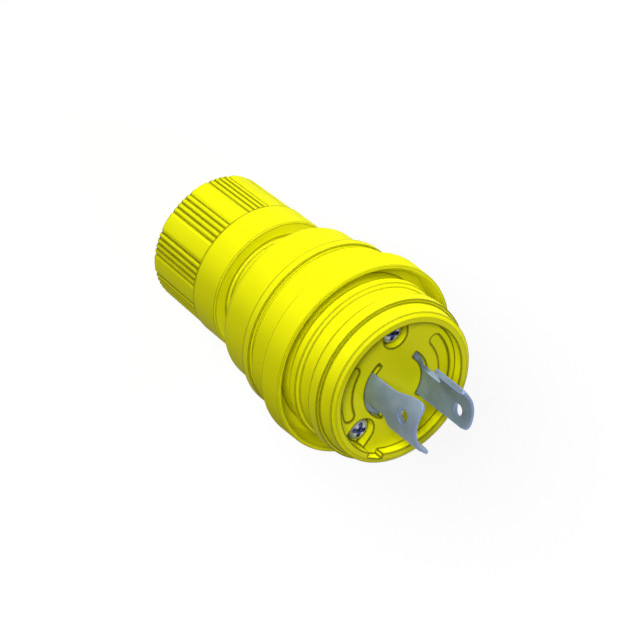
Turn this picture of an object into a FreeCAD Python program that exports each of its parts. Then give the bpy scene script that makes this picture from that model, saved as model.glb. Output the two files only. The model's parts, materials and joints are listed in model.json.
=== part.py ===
import FreeCAD, Part
import math
import os

import Sketcher
from FreeCAD import Placement, Rotation, Vector

# Locking power plug for wet places, standing on the rear face of its cord nut.
# The plug's axis is +Z, towards the blades. The narrow blade's neck points along +X.
# Lengths are millimetres, angles are degrees counted from +X towards +Y.

DRIVING_SIZES = [
    # Cord nut
    ("barrel_len", 20.0, "ribbed barrel of the cord nut, rear face to collar"),
    ("barrel_side", 3.3, "from the thread's crest to the barrel's outside at the rear"),
    ("barrel_taper", 0.7, "how much the barrel widens towards the collar"),
    ("collar_len", 10.3, "smooth collar of the cord nut"),
    ("collar_step", 0.3, "step from the barrel up to the collar"),
    ("collar_taper", 0.2, "how much the collar widens towards the front"),
    ("collar_round", 0.5, "rounding of the collar's front edge"),
    ("nut_rear_round", 0.6, "rounding of the nut's rear edge"),
    ("nut_wall", 3.0, "rear wall of the nut"),
    ("cord_hole_radius", 8.6, "hole for the cord in the nut's rear wall"),
    ("rib_groups", 9, "groups of ribs round the barrel"),
    ("ribs_per_group", 4, "ribs in a group"),
    ("rib_pitch", 5.0, "angle from one rib to the next"),
    ("rib_valley_depth", 0.55, "depth of the valley between two ribs"),
    ("rib_valley_half", 0.66, "half the width of a valley at the surface"),
    ("first_valley_angle", 128.7, "angle of the first valley of a group"),
    # Neck, thread and cord seal
    ("neck_radius", 16.0, "crest of the thread on the housing's neck"),
    ("neck_clearance", 0.4, "between the neck and the nut's bore"),
    ("neck_start", 12.5, "rear end of the neck above the nut's rear face"),
    ("neck_bevel", 0.7, "bevel on the neck's rear end"),
    ("neck_bore_radius", 10.5, "bore of the neck"),
    ("seat_len", 9.5, "length of the conical seat in the neck"),
    ("neck_end_wall", 3.05, "wall of the neck round the seat's mouth"),
    ("thread_pitch", 2.5, "pitch of the neck's thread"),
    ("thread_depth", 0.8, "depth of the neck's thread"),
    ("thread_groove_half", 1.0, "half the width of the thread's groove at the crest"),
    ("thread_turns", 8, "turns of the neck's thread"),
    ("ring_thickness", 2.5, "slip ring"),
    ("ring_side_gap", 0.3, "between slip ring and nut"),
    ("bushing_side_gap", 0.5, "between bushing and nut"),
    ("bushing_seat_gap", 0.1, "between the bushing's cone and its seat"),
    ("bushing_bore_radius", 6.5, "bore of the bushing, for the cord"),
    ("bushing_nose_back", 1.0, "from the bushing's nose to the seat's end"),
    ("bushing_lip_bevel", 0.8, "bevel at each end of the bushing's bore"),
    # Housing, outside
    ("neck_gap", 7.3, "neck that shows between the collar and the body"),
    ("body_step", 0.2, "body over the tube, at its rear shoulder"),
    ("body_taper", 0.2, "how much the body widens towards the flange"),
    ("body_len", 13.5, "rear shoulder to flange"),
    ("shoulder_round", 1.3, "rounding of the rear shoulder"),
    ("flange_step", 2.55, "flange and the skirt's sleeve over the tube"),
    ("flange_len", 3.0, "flange"),
    ("flange_round", 0.35, "rounding of the flange's rear edge"),
    ("nose_wall", 3.28, "from the bore to the tube's outside"),
    ("nose_len", 17.9, "skirt's lip to the housing's lip"),
    ("rear_rib_rise", 1.2, "crest of the rear nose rib over the tube"),
    ("rear_rib_back", 18.4, "rear edge of the rear rib's crest, behind the lip"),
    ("rear_rib_len", 2.6, "crest of the rear rib"),
    ("rear_rib_front_slope", 0.8, "length of the rear rib's front slope"),
    ("front_rib_rise", 1.35, "crest of the front nose rib over the tube"),
    ("front_rib_back", 9.35, "rear edge of the front rib's crest, behind the lip"),
    ("front_rib_len", 3.85, "crest of the front rib"),
    ("rib_back_slope", 1.2, "length of a rib's rear slope"),
    ("rim_step", 0.2, "smooth rim over the tube, at the front rib"),
    ("rim_taper", 0.3, "how much the rim narrows towards the lip"),
    ("lip_bevel_len", 0.8, "bevel between rim and lip"),
    ("lip_bevel_width", 1.3, "that bevel, across"),
    # Housing, inside
    ("bore_edge", 4.07, "from the assembly screws' circle to the nose's bore"),
    ("ledge_depth", 15.5, "ledge that carries the gasket, behind the lip"),
    ("ledge_width", 1.37, "that ledge, from the bore to the wiring chamber"),
    ("floor_thickness", 4.4, "rear wall of the wiring chamber"),
    ("keyway_depth", 1.43, "keyway in the wall of the bore"),
    ("keyway_angle", 261.0, "middle of the keyway"),
    ("keyway_width", 14.0, "keyway, as an angle"),
    ("key_side_gap", 0.3, "angle between the key and each side of the keyway"),
    ("boss_radius", 3.6, "bosses that take the assembly screws"),
    # Skirt
    ("sleeve_len", 10.05, "flange to the skirt's rear edge"),
    ("sleeve_gap", 0.05, "between sleeve and tube"),
    ("parting_len", 1.5, "groove at the sleeve's rear end"),
    ("parting_step", 1.45, "floor of that groove over the tube"),
    ("skirt_len", 7.95, "skirt, rear edge to lip"),
    ("skirt_overhang", 2.9, "outside of the skirt over its sleeve"),
    ("skirt_web", 2.2, "web that closes the skirt's rear"),
    ("skirt_lip_wall", 1.3, "skirt at its lip"),
    ("skirt_root_wall", 2.45, "skirt at its web"),
    ("skirt_round", 0.4, "rounding of the skirt's outer edges"),
    # Blade carrier
    ("face_depth", 2.75, "face of the carrier below the lip"),
    ("carrier_gap", 0.1, "between carrier and bore"),
    ("gasket_thickness", 0.75, "gasket under the carrier"),
    ("gasket_gap", 0.1, "between the gasket and the walls beside it"),
    ("slot_inner_gap", 0.2, "between a blade's inner side and its slot"),
    ("slot_outer_gap", 0.15, "between a blade's outer side and its slot"),
    ("wide_slot_start", 137.5, "slot of the wide blade"),
    ("wide_slot_sweep", 122.0, "slot of the wide blade"),
    ("narrow_slot_start", -25.0, "slot of the narrow blade"),
    ("narrow_slot_sweep", 90.5, "slot of the narrow blade"),
    ("screw_clearance", 5.75, "from the blades' outer side to the assembly screws' circle"),
    ("upper_screw_angle", 106.0, "upper assembly screw"),
    ("lower_screw_angle", 241.2, "lower assembly screw"),
    ("pocket_gap", 0.7, "pockets round the screw heads"),
    ("head_sink", 1.1, "top of the screw heads below the face"),
    ("screw_hole_gap", 0.25, "round the screws where they pass through"),
    ("pad_edge", 2.12, "from the bore to the outer edge of the bare pads"),
    ("pad_width", 3.55, "bare pads on the face"),
    ("pad_depth", 0.3, "bare pads on the face"),
    ("left_pad_start", 163.5, "straight part of the left pad"),
    ("right_pad_start", 1.0, "straight part of the right pad"),
    ("pad_sweep", 50.0, "straight part of a pad"),
    # Blades
    ("blade_inner_radius", 8.95, "inner side of the blades"),
    ("blade_thickness", 1.5, "sheet of the blades"),
    ("blade_base_sink", 1.3, "wide base of the blades below the face"),
    ("slot_end_gap", 1.0, "angle between a blade's base and the slot's end"),
    ("lug_height", 9.1, "rear edge of the lug above the face"),
    ("blade_height", 23.1, "tip of the blades above the face"),
    ("neck_sweep", 49.5, "neck of both blades"),
    ("wide_neck_inset", 17.5, "angle from the wide slot's start to its blade's neck"),
    ("wide_head_inset", 5.5, "angle from the wide slot's start to its blade's head"),
    ("narrow_neck_inset", 1.5, "angle from the narrow slot's start to its blade's neck"),
    ("wide_lug_inset", 6.0, "angle from the wide blade's lug to its slot's end"),
    ("narrow_lug_inset", 1.5, "angle from the narrow blade's lug to its slot's end"),
    ("flare_height", 10.7, "start of the wide blade's flare above the face"),
    ("flare_len", 7.5, "length of that flare"),
    ("lug_round", 1.2, "rounding where neck and lug meet"),
    ("lug_corner_round", 0.8, "rounding of the lug's rear corner"),
    ("tip_corner_round", 2.2, "rounding of the tip's corner away from the lug"),
    ("lug_tip_round", 1.0, "rounding of the lug's corner at the tip"),
    ("tip_bevel_len", 2.0, "bevels on both sides of the tip"),
    ("tip_bevel_depth", 0.35, "depth of each bevel at the tip"),
    ("blade_hole_radius", 1.95, "hole in the blades"),
    ("blade_hole_height", 17.3, "hole above the face"),
    ("shoulder_len", 1.9, "shoulder that the terminal body traps"),
    ("shoulder_extra", 4.0, "angle that the shoulder passes the slot"),
    ("tang_half_angle", 26.0, "half the terminal tang's angle"),
    ("tang_gap", 1.35, "between the tang and the floor of its pocket"),
    ("tang_hole_height", 4.85, "terminal screw above the tang's end"),
    # Terminal body and terminals
    ("terminal_side_gap", 0.9, "between terminal body and wiring chamber"),
    ("terminal_body_len", 17.25, "terminal body"),
    ("terminal_pocket_half", 5.5, "half the terminal pocket's width"),
    ("terminal_pocket_floor", 3.0, "floor of the terminal pockets"),
    ("shoulder_gap", 0.1, "round the blade's shoulder"),
    ("wire_hole_radius", 2.2, "wire holes in the terminal body"),
    ("wire_hole_inset", 0.65, "wire holes inside the blades' inner side"),
    ("boss_gap", 0.3, "between terminal body and bosses"),
    ("terminal_head_radius", 3.2, "terminal screw head"),
    ("terminal_head_len", 2.4, "terminal screw head"),
    ("terminal_shank_radius", 1.75, "terminal screw shank"),
    ("terminal_tip_gap", 0.6, "between the terminal screw's tip and the pocket's wall"),
    ("terminal_hole_gap", 0.2, "round the terminal screw in the tang"),
    ("terminal_head_gap", 0.05, "between the terminal screw's head and the tang"),
    ("clamp_side", 6.8, "square clamp nut"),
    ("clamp_thickness", 2.6, "square clamp nut"),
    ("clamp_space", 1.35, "between the clamp nut and the blade"),
    ("clamp_back_gap", 1.0, "between the clamp nut and the pocket's wall"),
    ("thread_gap", 0.05, "between a screw's shank and its thread"),
    # Screws along the axis
    ("head_radius", 3.35, "assembly screw head"),
    ("head_side_len", 1.4, "cylindrical side of the head"),
    ("head_dome_len", 0.8, "domed top of the head"),
    ("head_dome_radius", 1.9, "flat top of the head"),
    ("shank_radius", 1.5, "assembly screw shank"),
    ("shank_len", 15.8, "assembly screw shank"),
    ("recess_arm", 2.0, "arm of the cross recess"),
    ("recess_half_width", 0.4, "half the width of the cross recess"),
    ("recess_depth", 1.2, "cross recess and screw slots"),
    ("insert_radius", 2.4, "brass insert"),
    ("insert_len", 8.0, "brass insert"),
    ("insert_hole_extra", 2.5, "insert hole below the insert"),
    ("retainer_edge", 4.9, "from the retainer screws' circle to the wiring chamber's wall"),
    ("upper_retainer_angle", 50.0, "upper retainer screw"),
    ("lower_retainer_angle", 310.0, "lower retainer screw"),
    ("retainer_head_radius", 2.6, "retainer screw head"),
    ("retainer_head_len", 1.8, "retainer screw head"),
    ("retainer_head_gap", 0.3, "round the retainer screw's head"),
    ("retainer_shank_radius", 1.4, "retainer screw shank"),
    ("retainer_bite", 8.0, "retainer screw inside the carrier"),
]

SHEET = "Sizes"
FULL_TURN = 360
QUARTER_TURN = 90
CUT_MARGIN = 1.0
NEAR = 0.01
OVERCUT = 1.2


class Size:
    """A length or angle: the expression that binds it to the sheet, and its value now."""

    def __init__(self, text, value):
        self.text = text
        self.value = value

    def __add__(self, other):
        other = as_size(other)
        return Size(f"({self.text} + {other.text})", self.value + other.value)

    def __sub__(self, other):
        other = as_size(other)
        return Size(f"({self.text} - {other.text})", self.value - other.value)

    def __mul__(self, other):
        other = as_size(other)
        return Size(f"({self.text} * {other.text})", self.value * other.value)

    def __truediv__(self, other):
        other = as_size(other)
        return Size(f"({self.text} / {other.text})", self.value / other.value)

    def __neg__(self):
        return Size(f"(0 - {self.text})", -self.value)


def as_size(number):
    """A plain number as a size."""
    return number if isinstance(number, Size) else Size(repr(float(number)), float(number))


def cos_of(angle):
    """Cosine of an angle in degrees."""
    return Size(f"cos({angle.text} * 1 deg)", math.cos(math.radians(angle.value)))


def sin_of(angle):
    """Sine of an angle in degrees."""
    return Size(f"sin({angle.text} * 1 deg)", math.sin(math.radians(angle.value)))


class Sizes:
    """The driving dimensions by name."""


ZERO = as_size(0)
doc = FreeCAD.newDocument("locking_power_plug")
sheet = doc.addObject("Spreadsheet::Sheet", SHEET)
size = Sizes()
for row, (alias, amount, note) in enumerate(DRIVING_SIZES, start=1):
    sheet.set(f"A{row}", note)
    sheet.set(f"B{row}", str(amount))
    sheet.setAlias(f"B{row}", alias)
    setattr(size, alias, Size(f"{SHEET}.{alias}", float(amount)))
doc.recompute()

# Heights along the axis that several pieces share.
collar_front = size.barrel_len + size.collar_len
ring_front = size.nut_wall + size.ring_thickness
shoulder_z = collar_front + size.neck_gap
flange_rear = shoulder_z + size.body_len
flange_front = flange_rear + size.flange_len
skirt_rear = flange_front + size.sleeve_len
skirt_front = skirt_rear + size.skirt_len
skirt_floor = skirt_rear + size.skirt_web
lip_z = skirt_front + size.nose_len
face_z = lip_z - size.face_depth
ledge_z = lip_z - size.ledge_depth
carrier_rear = ledge_z + size.gasket_thickness
chamber_floor = shoulder_z + size.floor_thickness
head_top = face_z - size.head_sink
head_seat = head_top - size.head_side_len - size.head_dome_len
base_top = face_z - size.blade_base_sink
lug_z = face_z + size.lug_height
tip_z = face_z + size.blade_height
shoulder_low = carrier_rear - size.shoulder_len
terminal_rear = carrier_rear - size.terminal_body_len
tang_low = terminal_rear + size.terminal_pocket_floor + size.tang_gap
terminal_screw_z = tang_low + size.tang_hole_height
insert_floor = ledge_z - size.insert_len

# Radii that several pieces share, from the blades outwards.
blade_outer_radius = size.blade_inner_radius + size.blade_thickness
screw_circle = blade_outer_radius + size.screw_clearance
bore_radius = screw_circle + size.bore_edge
carrier_radius = bore_radius - size.carrier_gap
chamber_radius = bore_radius - size.ledge_width
keyway_radius = bore_radius + size.keyway_depth
tube_radius = bore_radius + size.nose_wall
body_rear_radius = tube_radius + size.body_step
body_front_radius = body_rear_radius + size.body_taper
flange_radius = tube_radius + size.flange_step
skirt_radius = flange_radius + size.skirt_overhang
pocket_radius = size.head_radius + size.pocket_gap
retainer_circle = chamber_radius - size.retainer_edge
terminal_body_radius = chamber_radius - size.terminal_side_gap
clamp_front = size.blade_inner_radius - size.clamp_space
terminal_pocket_inner = clamp_front - size.clamp_thickness - size.clamp_back_gap
seat_mouth_radius = size.neck_radius - size.neck_end_wall
barrel_rear_radius = size.neck_radius + size.barrel_side
barrel_front_radius = barrel_rear_radius + size.barrel_taper
collar_rear_radius = barrel_front_radius + size.collar_step
collar_front_radius = collar_rear_radius + size.collar_taper


def new_body(name):
    """An empty body, which becomes one piece."""
    body = doc.addObject("PartDesign::Body", name)
    body.Label = name
    return body


def bind(owner, prop, amount):
    """Tie a property to a size."""
    owner.setExpression(prop, amount.text)


def new_sketch(body, name, plane, lift=None, turn=None):
    """A sketch on one of the body's own origin planes.

    lift raises it along the plane's normal, and turn rotates it about the plug's axis."""
    sketch = body.newObject("Sketcher::SketchObject", name)
    support = next(f for f in body.Origin.OriginFeatures if f.Role == plane)
    sketch.AttachmentSupport = [(support, "")]
    sketch.MapMode = "FlatFace"
    if turn is not None:
        upright = plane != "XY_Plane"
        axis = Vector(0, 1, 0) if upright else Vector(0, 0, 1)
        sketch.AttachmentOffset = Placement(Vector(), Rotation(axis, turn.value))
        bind(sketch, "AttachmentOffset.Rotation.Angle", turn)
    if lift is not None:
        bind(sketch, "AttachmentOffset.Base.z", lift)
    return sketch


def pin_point(sketch, geometry, end, across, up):
    """Hold a point of a sketch at two bound coordinates."""
    for kind, amount, axis in (("DistanceX", across, -2), ("DistanceY", up, -1)):
        if amount is ZERO:
            sketch.addConstraint(Sketcher.Constraint("PointOnObject", geometry, end, axis))
            continue
        rule = Sketcher.Constraint(kind, -1, 1, geometry, end, amount.value)
        index = sketch.addConstraint(rule)
        bind(sketch, f"Constraints[{index}]", amount)


def polygon(sketch, corners):
    """A closed outline through bound corners."""
    count = len(corners)
    points = [Vector(across.value, up.value, 0) for across, up in corners]
    for index in range(count):
        sketch.addGeometry(Part.LineSegment(points[index], points[(index + 1) % count]))
    for index in range(count):
        link = Sketcher.Constraint("Coincident", index, 2, (index + 1) % count, 1)
        sketch.addConstraint(link)
    for index, (across, up) in enumerate(corners):
        pin_point(sketch, index, 1, across, up)


def box_outline(sketch, left, right, low, high):
    """A rectangle by its four bound sides."""
    polygon(sketch, [(left, low), (right, low), (right, high), (left, high)])


def circle(sketch, across, up, radius):
    """A circle with bound centre and radius."""
    index = sketch.addGeometry(
        Part.Circle(Vector(across.value, up.value, 0), Vector(0, 0, 1), radius.value))
    pin_point(sketch, index, 3, across, up)
    rule = sketch.addConstraint(Sketcher.Constraint("Radius", index, radius.value))
    bind(sketch, f"Constraints[{rule}]", radius)


def turned(body, name, corners, cut=False):
    """Revolve an outline, given as radius and height, round the plug's axis."""
    sketch = new_sketch(body, name + "_outline", "XZ_Plane")
    polygon(sketch, corners)
    return revolve(body, name, sketch, as_size(FULL_TURN), cut)


def revolve(body, name, sketch, sweep, cut):
    """Revolve a sketch about the plug's axis, as material or as a cut."""
    kind = "PartDesign::Groove" if cut else "PartDesign::Revolution"
    feature = body.newObject(kind, name)
    feature.Profile = sketch
    feature.ReferenceAxis = (sketch, ["V_Axis"])
    bind(feature, "Angle", sweep)
    sketch.Visibility = False
    return feature


def sector(body, name, radii, heights, start, sweep, cut=False):
    """A ring sector between two radii, two heights and two angles."""
    sketch = new_sketch(body, name + "_outline", "XZ_Plane", turn=start)
    box_outline(sketch, radii[0], radii[1], heights[0], heights[1])
    return revolve(body, name, sketch, sweep, cut)


def pad(body, name, sketch, length):
    """Raise a flat sketch along +Z."""
    feature = body.newObject("PartDesign::Pad", name)
    feature.Profile = sketch
    bind(feature, "Length", length)
    return feature


def pocket(body, name, sketch, length):
    """Sink a flat sketch along -Z."""
    feature = body.newObject("PartDesign::Pocket", name)
    feature.Profile = sketch
    bind(feature, "Length", length)
    return feature


def round_hole(body, name, top, depth, radius, circle_radius=ZERO, angle=None):
    """A hole along -Z from a height, on a circle round the plug's axis or on the axis."""
    sketch = new_sketch(body, name + "_outline", "XY_Plane", lift=top, turn=angle)
    circle(sketch, circle_radius, ZERO, radius)
    return pocket(body, name, sketch, depth)


def edges_where(shape, test):
    """Names of the edges that a test picks by their ends and middle."""
    names = []
    for index, edge in enumerate(shape.Edges, start=1):
        middle = edge.valueAt((edge.FirstParameter + edge.LastParameter) / 2)
        if test(edge, middle):
            names.append(f"Edge{index}")
    return names


def soften(body, kind, name, base, amount, test):
    """Round or bevel the edges of a feature that a test picks."""
    doc.recompute()
    feature = body.newObject(f"PartDesign::{kind}", name)
    feature.Base = (base, edges_where(base.Shape, test))
    bind(feature, "Radius" if kind == "Fillet" else "Size", amount)
    return feature


def radius_at(point):
    """Distance of a point from the plug's axis."""
    return math.hypot(point.x, point.y)


def is_ring(edge, middle, radius, height):
    """Whether an edge is a circle round the axis at a radius and height."""
    round_axis = edge.Curve.TypeId == "Part::GeomCircle" and radius_at(edge.Curve.Center) < NEAR
    return (round_axis and abs(radius_at(middle) - radius.value) < NEAR
            and abs(middle.z - height.value) < NEAR)


def make_cord_nut():
    """The cord nut: ribbed barrel, smooth collar and the bore that takes neck and bushing."""
    body = new_body("cord_nut")
    seal_radius = seat_mouth_radius + size.bushing_side_gap
    thread_radius = size.neck_radius + size.neck_clearance
    bore_step = size.neck_start - size.neck_clearance
    shell = turned(body, "nut_shell", [
        (size.cord_hole_radius, ZERO),
        (barrel_rear_radius, ZERO),
        (barrel_front_radius, size.barrel_len),
        (collar_rear_radius, size.barrel_len),
        (collar_front_radius, collar_front),
        (thread_radius, collar_front),
        (thread_radius, bore_step),
        (seal_radius, bore_step),
        (seal_radius, size.nut_wall),
        (size.cord_hole_radius, size.nut_wall),
    ])
    softened = soften(body, "Fillet", "collar_edge", shell, size.collar_round,
                      lambda e, m: is_ring(e, m, collar_front_radius, collar_front))
    softened = soften(body, "Fillet", "rear_edge", softened, size.nut_rear_round,
                      lambda e, m: is_ring(e, m, barrel_rear_radius, ZERO))
    rear = valley_outline(body, "valley_rear", barrel_rear_radius, ZERO)
    front = valley_outline(body, "valley_front", barrel_front_radius, size.barrel_len)
    valley = body.newObject("PartDesign::SubtractiveLoft", "valley")
    valley.Profile = rear
    valley.Sections = [front]
    valley.Ruled = True
    valleys = body.newObject("PartDesign::MultiTransform", "valleys")
    valleys.Originals = [valley]
    in_group = body.newObject("PartDesign::PolarPattern", "valleys_in_group")
    in_group.Axis = (rear, ["N_Axis"])
    bind(in_group, "Angle", size.rib_pitch * size.ribs_per_group)
    bind(in_group, "Occurrences", size.ribs_per_group + 1)
    groups = body.newObject("PartDesign::PolarPattern", "groups")
    groups.Axis = (rear, ["N_Axis"])
    groups.Angle = FULL_TURN
    bind(groups, "Occurrences", size.rib_groups)
    valleys.Transformations = [in_group, groups]
    body.Tip = valleys
    return body


def valley_outline(body, name, radius, height):
    """Cross-section of the valley between two ribs, where the barrel has a given radius."""
    sketch = new_sketch(body, name, "XY_Plane", lift=height, turn=size.first_valley_angle)
    outside = radius + size.rib_valley_depth
    polygon(sketch, [
        (radius - size.rib_valley_depth, ZERO),
        (outside, size.rib_valley_half * 2),
        (outside, size.rib_valley_half * -2),
    ])
    return sketch


def make_slip_ring():
    """The thrust washer on the nut's rear wall."""
    body = new_body("slip_ring")
    outer = seat_mouth_radius + size.bushing_side_gap - size.ring_side_gap
    turned(body, "ring", [
        (size.cord_hole_radius, size.nut_wall),
        (outer, size.nut_wall),
        (outer, ring_front),
        (size.cord_hole_radius, ring_front),
    ])
    return body


def make_cord_bushing():
    """The rubber bushing: a flange behind a cone that sits in the neck's seat."""
    body = new_body("cord_bushing")
    slope = (seat_mouth_radius - size.neck_bore_radius) / size.seat_len
    flange = seat_mouth_radius - size.bushing_seat_gap
    nose_len = size.seat_len - size.bushing_nose_back
    nose = flange - slope * nose_len
    cone_end = size.neck_start + nose_len
    bore = size.bushing_bore_radius
    bevelled = bore + size.bushing_lip_bevel
    turned(body, "bushing", [
        (bevelled, ring_front),
        (flange, ring_front),
        (flange, size.neck_start),
        (nose, cone_end),
        (bevelled, cone_end),
        (bore, cone_end - size.bushing_lip_bevel),
        (bore, ring_front + size.bushing_lip_bevel),
    ])
    return body


def make_housing():
    """The housing: neck, body, flange, nose with two ribs, ledge, keyway and bosses."""
    body = new_body("housing")
    rear_crest_low = lip_z - size.rear_rib_back
    rear_crest_high = rear_crest_low + size.rear_rib_len
    rear_rib_radius = tube_radius + size.rear_rib_rise
    front_crest_low = lip_z - size.front_rib_back
    front_crest_high = front_crest_low + size.front_rib_len
    front_rib_radius = tube_radius + size.front_rib_rise
    rim_rear_radius = tube_radius + size.rim_step
    rim_front_radius = rim_rear_radius - size.rim_taper
    shell = turned(body, "shell", [
        (seat_mouth_radius, size.neck_start),
        (size.neck_radius - size.neck_bevel, size.neck_start),
        (size.neck_radius, size.neck_start + size.neck_bevel),
        (size.neck_radius, shoulder_z),
        (body_rear_radius, shoulder_z),
        (body_front_radius, flange_rear),
        (flange_radius, flange_rear),
        (flange_radius, flange_front),
        (tube_radius, flange_front),
        (tube_radius, rear_crest_low - size.rib_back_slope),
        (rear_rib_radius, rear_crest_low),
        (rear_rib_radius, rear_crest_high),
        (tube_radius, rear_crest_high + size.rear_rib_front_slope),
        (tube_radius, front_crest_low - size.rib_back_slope),
        (front_rib_radius, front_crest_low),
        (front_rib_radius, front_crest_high),
        (rim_rear_radius, front_crest_high),
        (rim_front_radius, lip_z - size.lip_bevel_len),
        (rim_front_radius - size.lip_bevel_width, lip_z),
        (bore_radius, lip_z),
        (bore_radius, ledge_z),
        (chamber_radius, ledge_z),
        (chamber_radius, chamber_floor),
        (size.neck_bore_radius, chamber_floor),
        (size.neck_bore_radius, size.neck_start + size.seat_len),
    ])
    softened = soften(body, "Fillet", "shoulder_edge", shell, size.shoulder_round,
                      lambda e, m: is_ring(e, m, body_rear_radius, shoulder_z))
    softened = soften(body, "Fillet", "flange_edge", softened, size.flange_round,
                      lambda e, m: is_ring(e, m, flange_radius, flange_rear))
    first_turn = size.neck_start + size.neck_bevel + size.thread_pitch
    outside = size.neck_radius + size.thread_depth
    groove = turned(body, "thread_groove", [
        (size.neck_radius - size.thread_depth, first_turn),
        (outside, first_turn + size.thread_groove_half * 2),
        (outside, first_turn - size.thread_groove_half * 2),
    ], cut=True)
    thread = body.newObject("PartDesign::LinearPattern", "thread")
    thread.Originals = [groove]
    thread.Direction = (groove.Profile[0], ["V_Axis"])
    bind(thread, "Length", size.thread_pitch * (size.thread_turns - 1))
    bind(thread, "Occurrences", size.thread_turns)
    body.Tip = thread
    sector(body, "keyway", (chamber_radius, keyway_radius),
           (ledge_z, lip_z + CUT_MARGIN), size.keyway_angle - size.keyway_width / 2,
           size.keyway_width, cut=True)
    for name, angle in (("upper", size.upper_screw_angle), ("lower", size.lower_screw_angle)):
        sketch = new_sketch(body, f"{name}_boss_outline", "XY_Plane",
                            lift=chamber_floor - CUT_MARGIN, turn=angle)
        circle(sketch, screw_circle, ZERO, size.boss_radius)
        pad(body, f"{name}_boss", sketch, ledge_z - chamber_floor + CUT_MARGIN)
    for name, angle in (("upper", size.upper_screw_angle), ("lower", size.lower_screw_angle)):
        round_hole(body, f"{name}_insert_hole", ledge_z, size.insert_len + size.insert_hole_extra,
                   size.insert_radius, screw_circle, angle)
    return body


def make_seal_skirt():
    """The weather skirt: a sleeve on the tube, then a ring that stands off the nose."""
    body = new_body("seal_skirt")
    inner = tube_radius + size.sleeve_gap
    parting_radius = tube_radius + size.parting_step
    skirt = turned(body, "skirt", [
        (inner, flange_front),
        (parting_radius, flange_front),
        (parting_radius, flange_front + size.parting_len),
        (flange_radius, flange_front + size.parting_len),
        (flange_radius, skirt_rear),
        (skirt_radius, skirt_rear),
        (skirt_radius, skirt_front),
        (skirt_radius - size.skirt_lip_wall, skirt_front),
        (skirt_radius - size.skirt_root_wall, skirt_floor),
        (inner, skirt_floor),
    ])
    soften(body, "Fillet", "skirt_edges", skirt, size.skirt_round,
           lambda e, m: is_ring(e, m, skirt_radius, skirt_rear)
           or is_ring(e, m, skirt_radius, skirt_front))
    return body


def make_blade_carrier():
    """The carrier: recessed face, key, blade slots, screw pockets and bare pads."""
    body = new_body("blade_carrier")
    turned(body, "disc", [
        (ZERO, carrier_rear), (carrier_radius, carrier_rear), (carrier_radius, face_z),
        (ZERO, face_z)])
    key_width = size.keyway_width - size.key_side_gap * 2
    sector(body, "key", (carrier_radius - CUT_MARGIN, keyway_radius - size.carrier_gap),
           (carrier_rear, face_z), size.keyway_angle - key_width / 2, key_width)
    slot_radii = (size.blade_inner_radius - size.slot_inner_gap,
                  blade_outer_radius + size.slot_outer_gap)
    slot_heights = (carrier_rear - CUT_MARGIN, face_z + CUT_MARGIN)
    sector(body, "wide_slot", slot_radii, slot_heights,
           size.wide_slot_start, size.wide_slot_sweep, cut=True)
    sector(body, "narrow_slot", slot_radii, slot_heights,
           size.narrow_slot_start, size.narrow_slot_sweep, cut=True)
    hole = size.shank_radius + size.screw_hole_gap
    for name, angle in (("upper", size.upper_screw_angle), ("lower", size.lower_screw_angle)):
        depth = face_z - head_seat
        round_hole(body, f"{name}_pocket", face_z, depth, pocket_radius,
                   screw_circle, angle)
        sketch = new_sketch(body, f"{name}_mouth_outline", "XY_Plane", lift=face_z, turn=angle)
        box_outline(sketch, screw_circle, keyway_radius + CUT_MARGIN,
                    -pocket_radius, pocket_radius)
        pocket(body, f"{name}_mouth", sketch, depth)
        round_hole(body, f"{name}_screw_hole", face_z, face_z - carrier_rear, hole,
                   screw_circle, angle)
    for name, angle in (("upper", size.upper_retainer_angle),
                        ("lower", size.lower_retainer_angle)):
        round_hole(body, f"{name}_retainer_hole", carrier_rear + size.retainer_bite,
                   size.retainer_bite, size.retainer_shank_radius + size.thread_gap,
                   retainer_circle, angle)
    pad_outer = bore_radius - size.pad_edge
    pad_inner = pad_outer - size.pad_width
    end_radius = size.pad_width / 2
    for name, start in (("left", size.left_pad_start), ("right", size.right_pad_start)):
        sector(body, f"{name}_pad", (pad_inner, pad_outer),
               (face_z - size.pad_depth, face_z + CUT_MARGIN), start, size.pad_sweep, cut=True)
        for end, angle in (("first", start), ("last", start + size.pad_sweep)):
            round_hole(body, f"{name}_pad_{end}_end", face_z, size.pad_depth, end_radius,
                       pad_inner + end_radius, angle)
    return body


def make_carrier_gasket():
    """The flat ring between the carrier and the housing's ledge."""
    body = new_body("carrier_gasket")
    inner = chamber_radius + size.gasket_gap
    outer = bore_radius - size.gasket_gap
    turned(body, "gasket", [
        (inner, ledge_z), (outer, ledge_z), (outer, carrier_rear), (inner, carrier_rear)])
    return body


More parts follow.
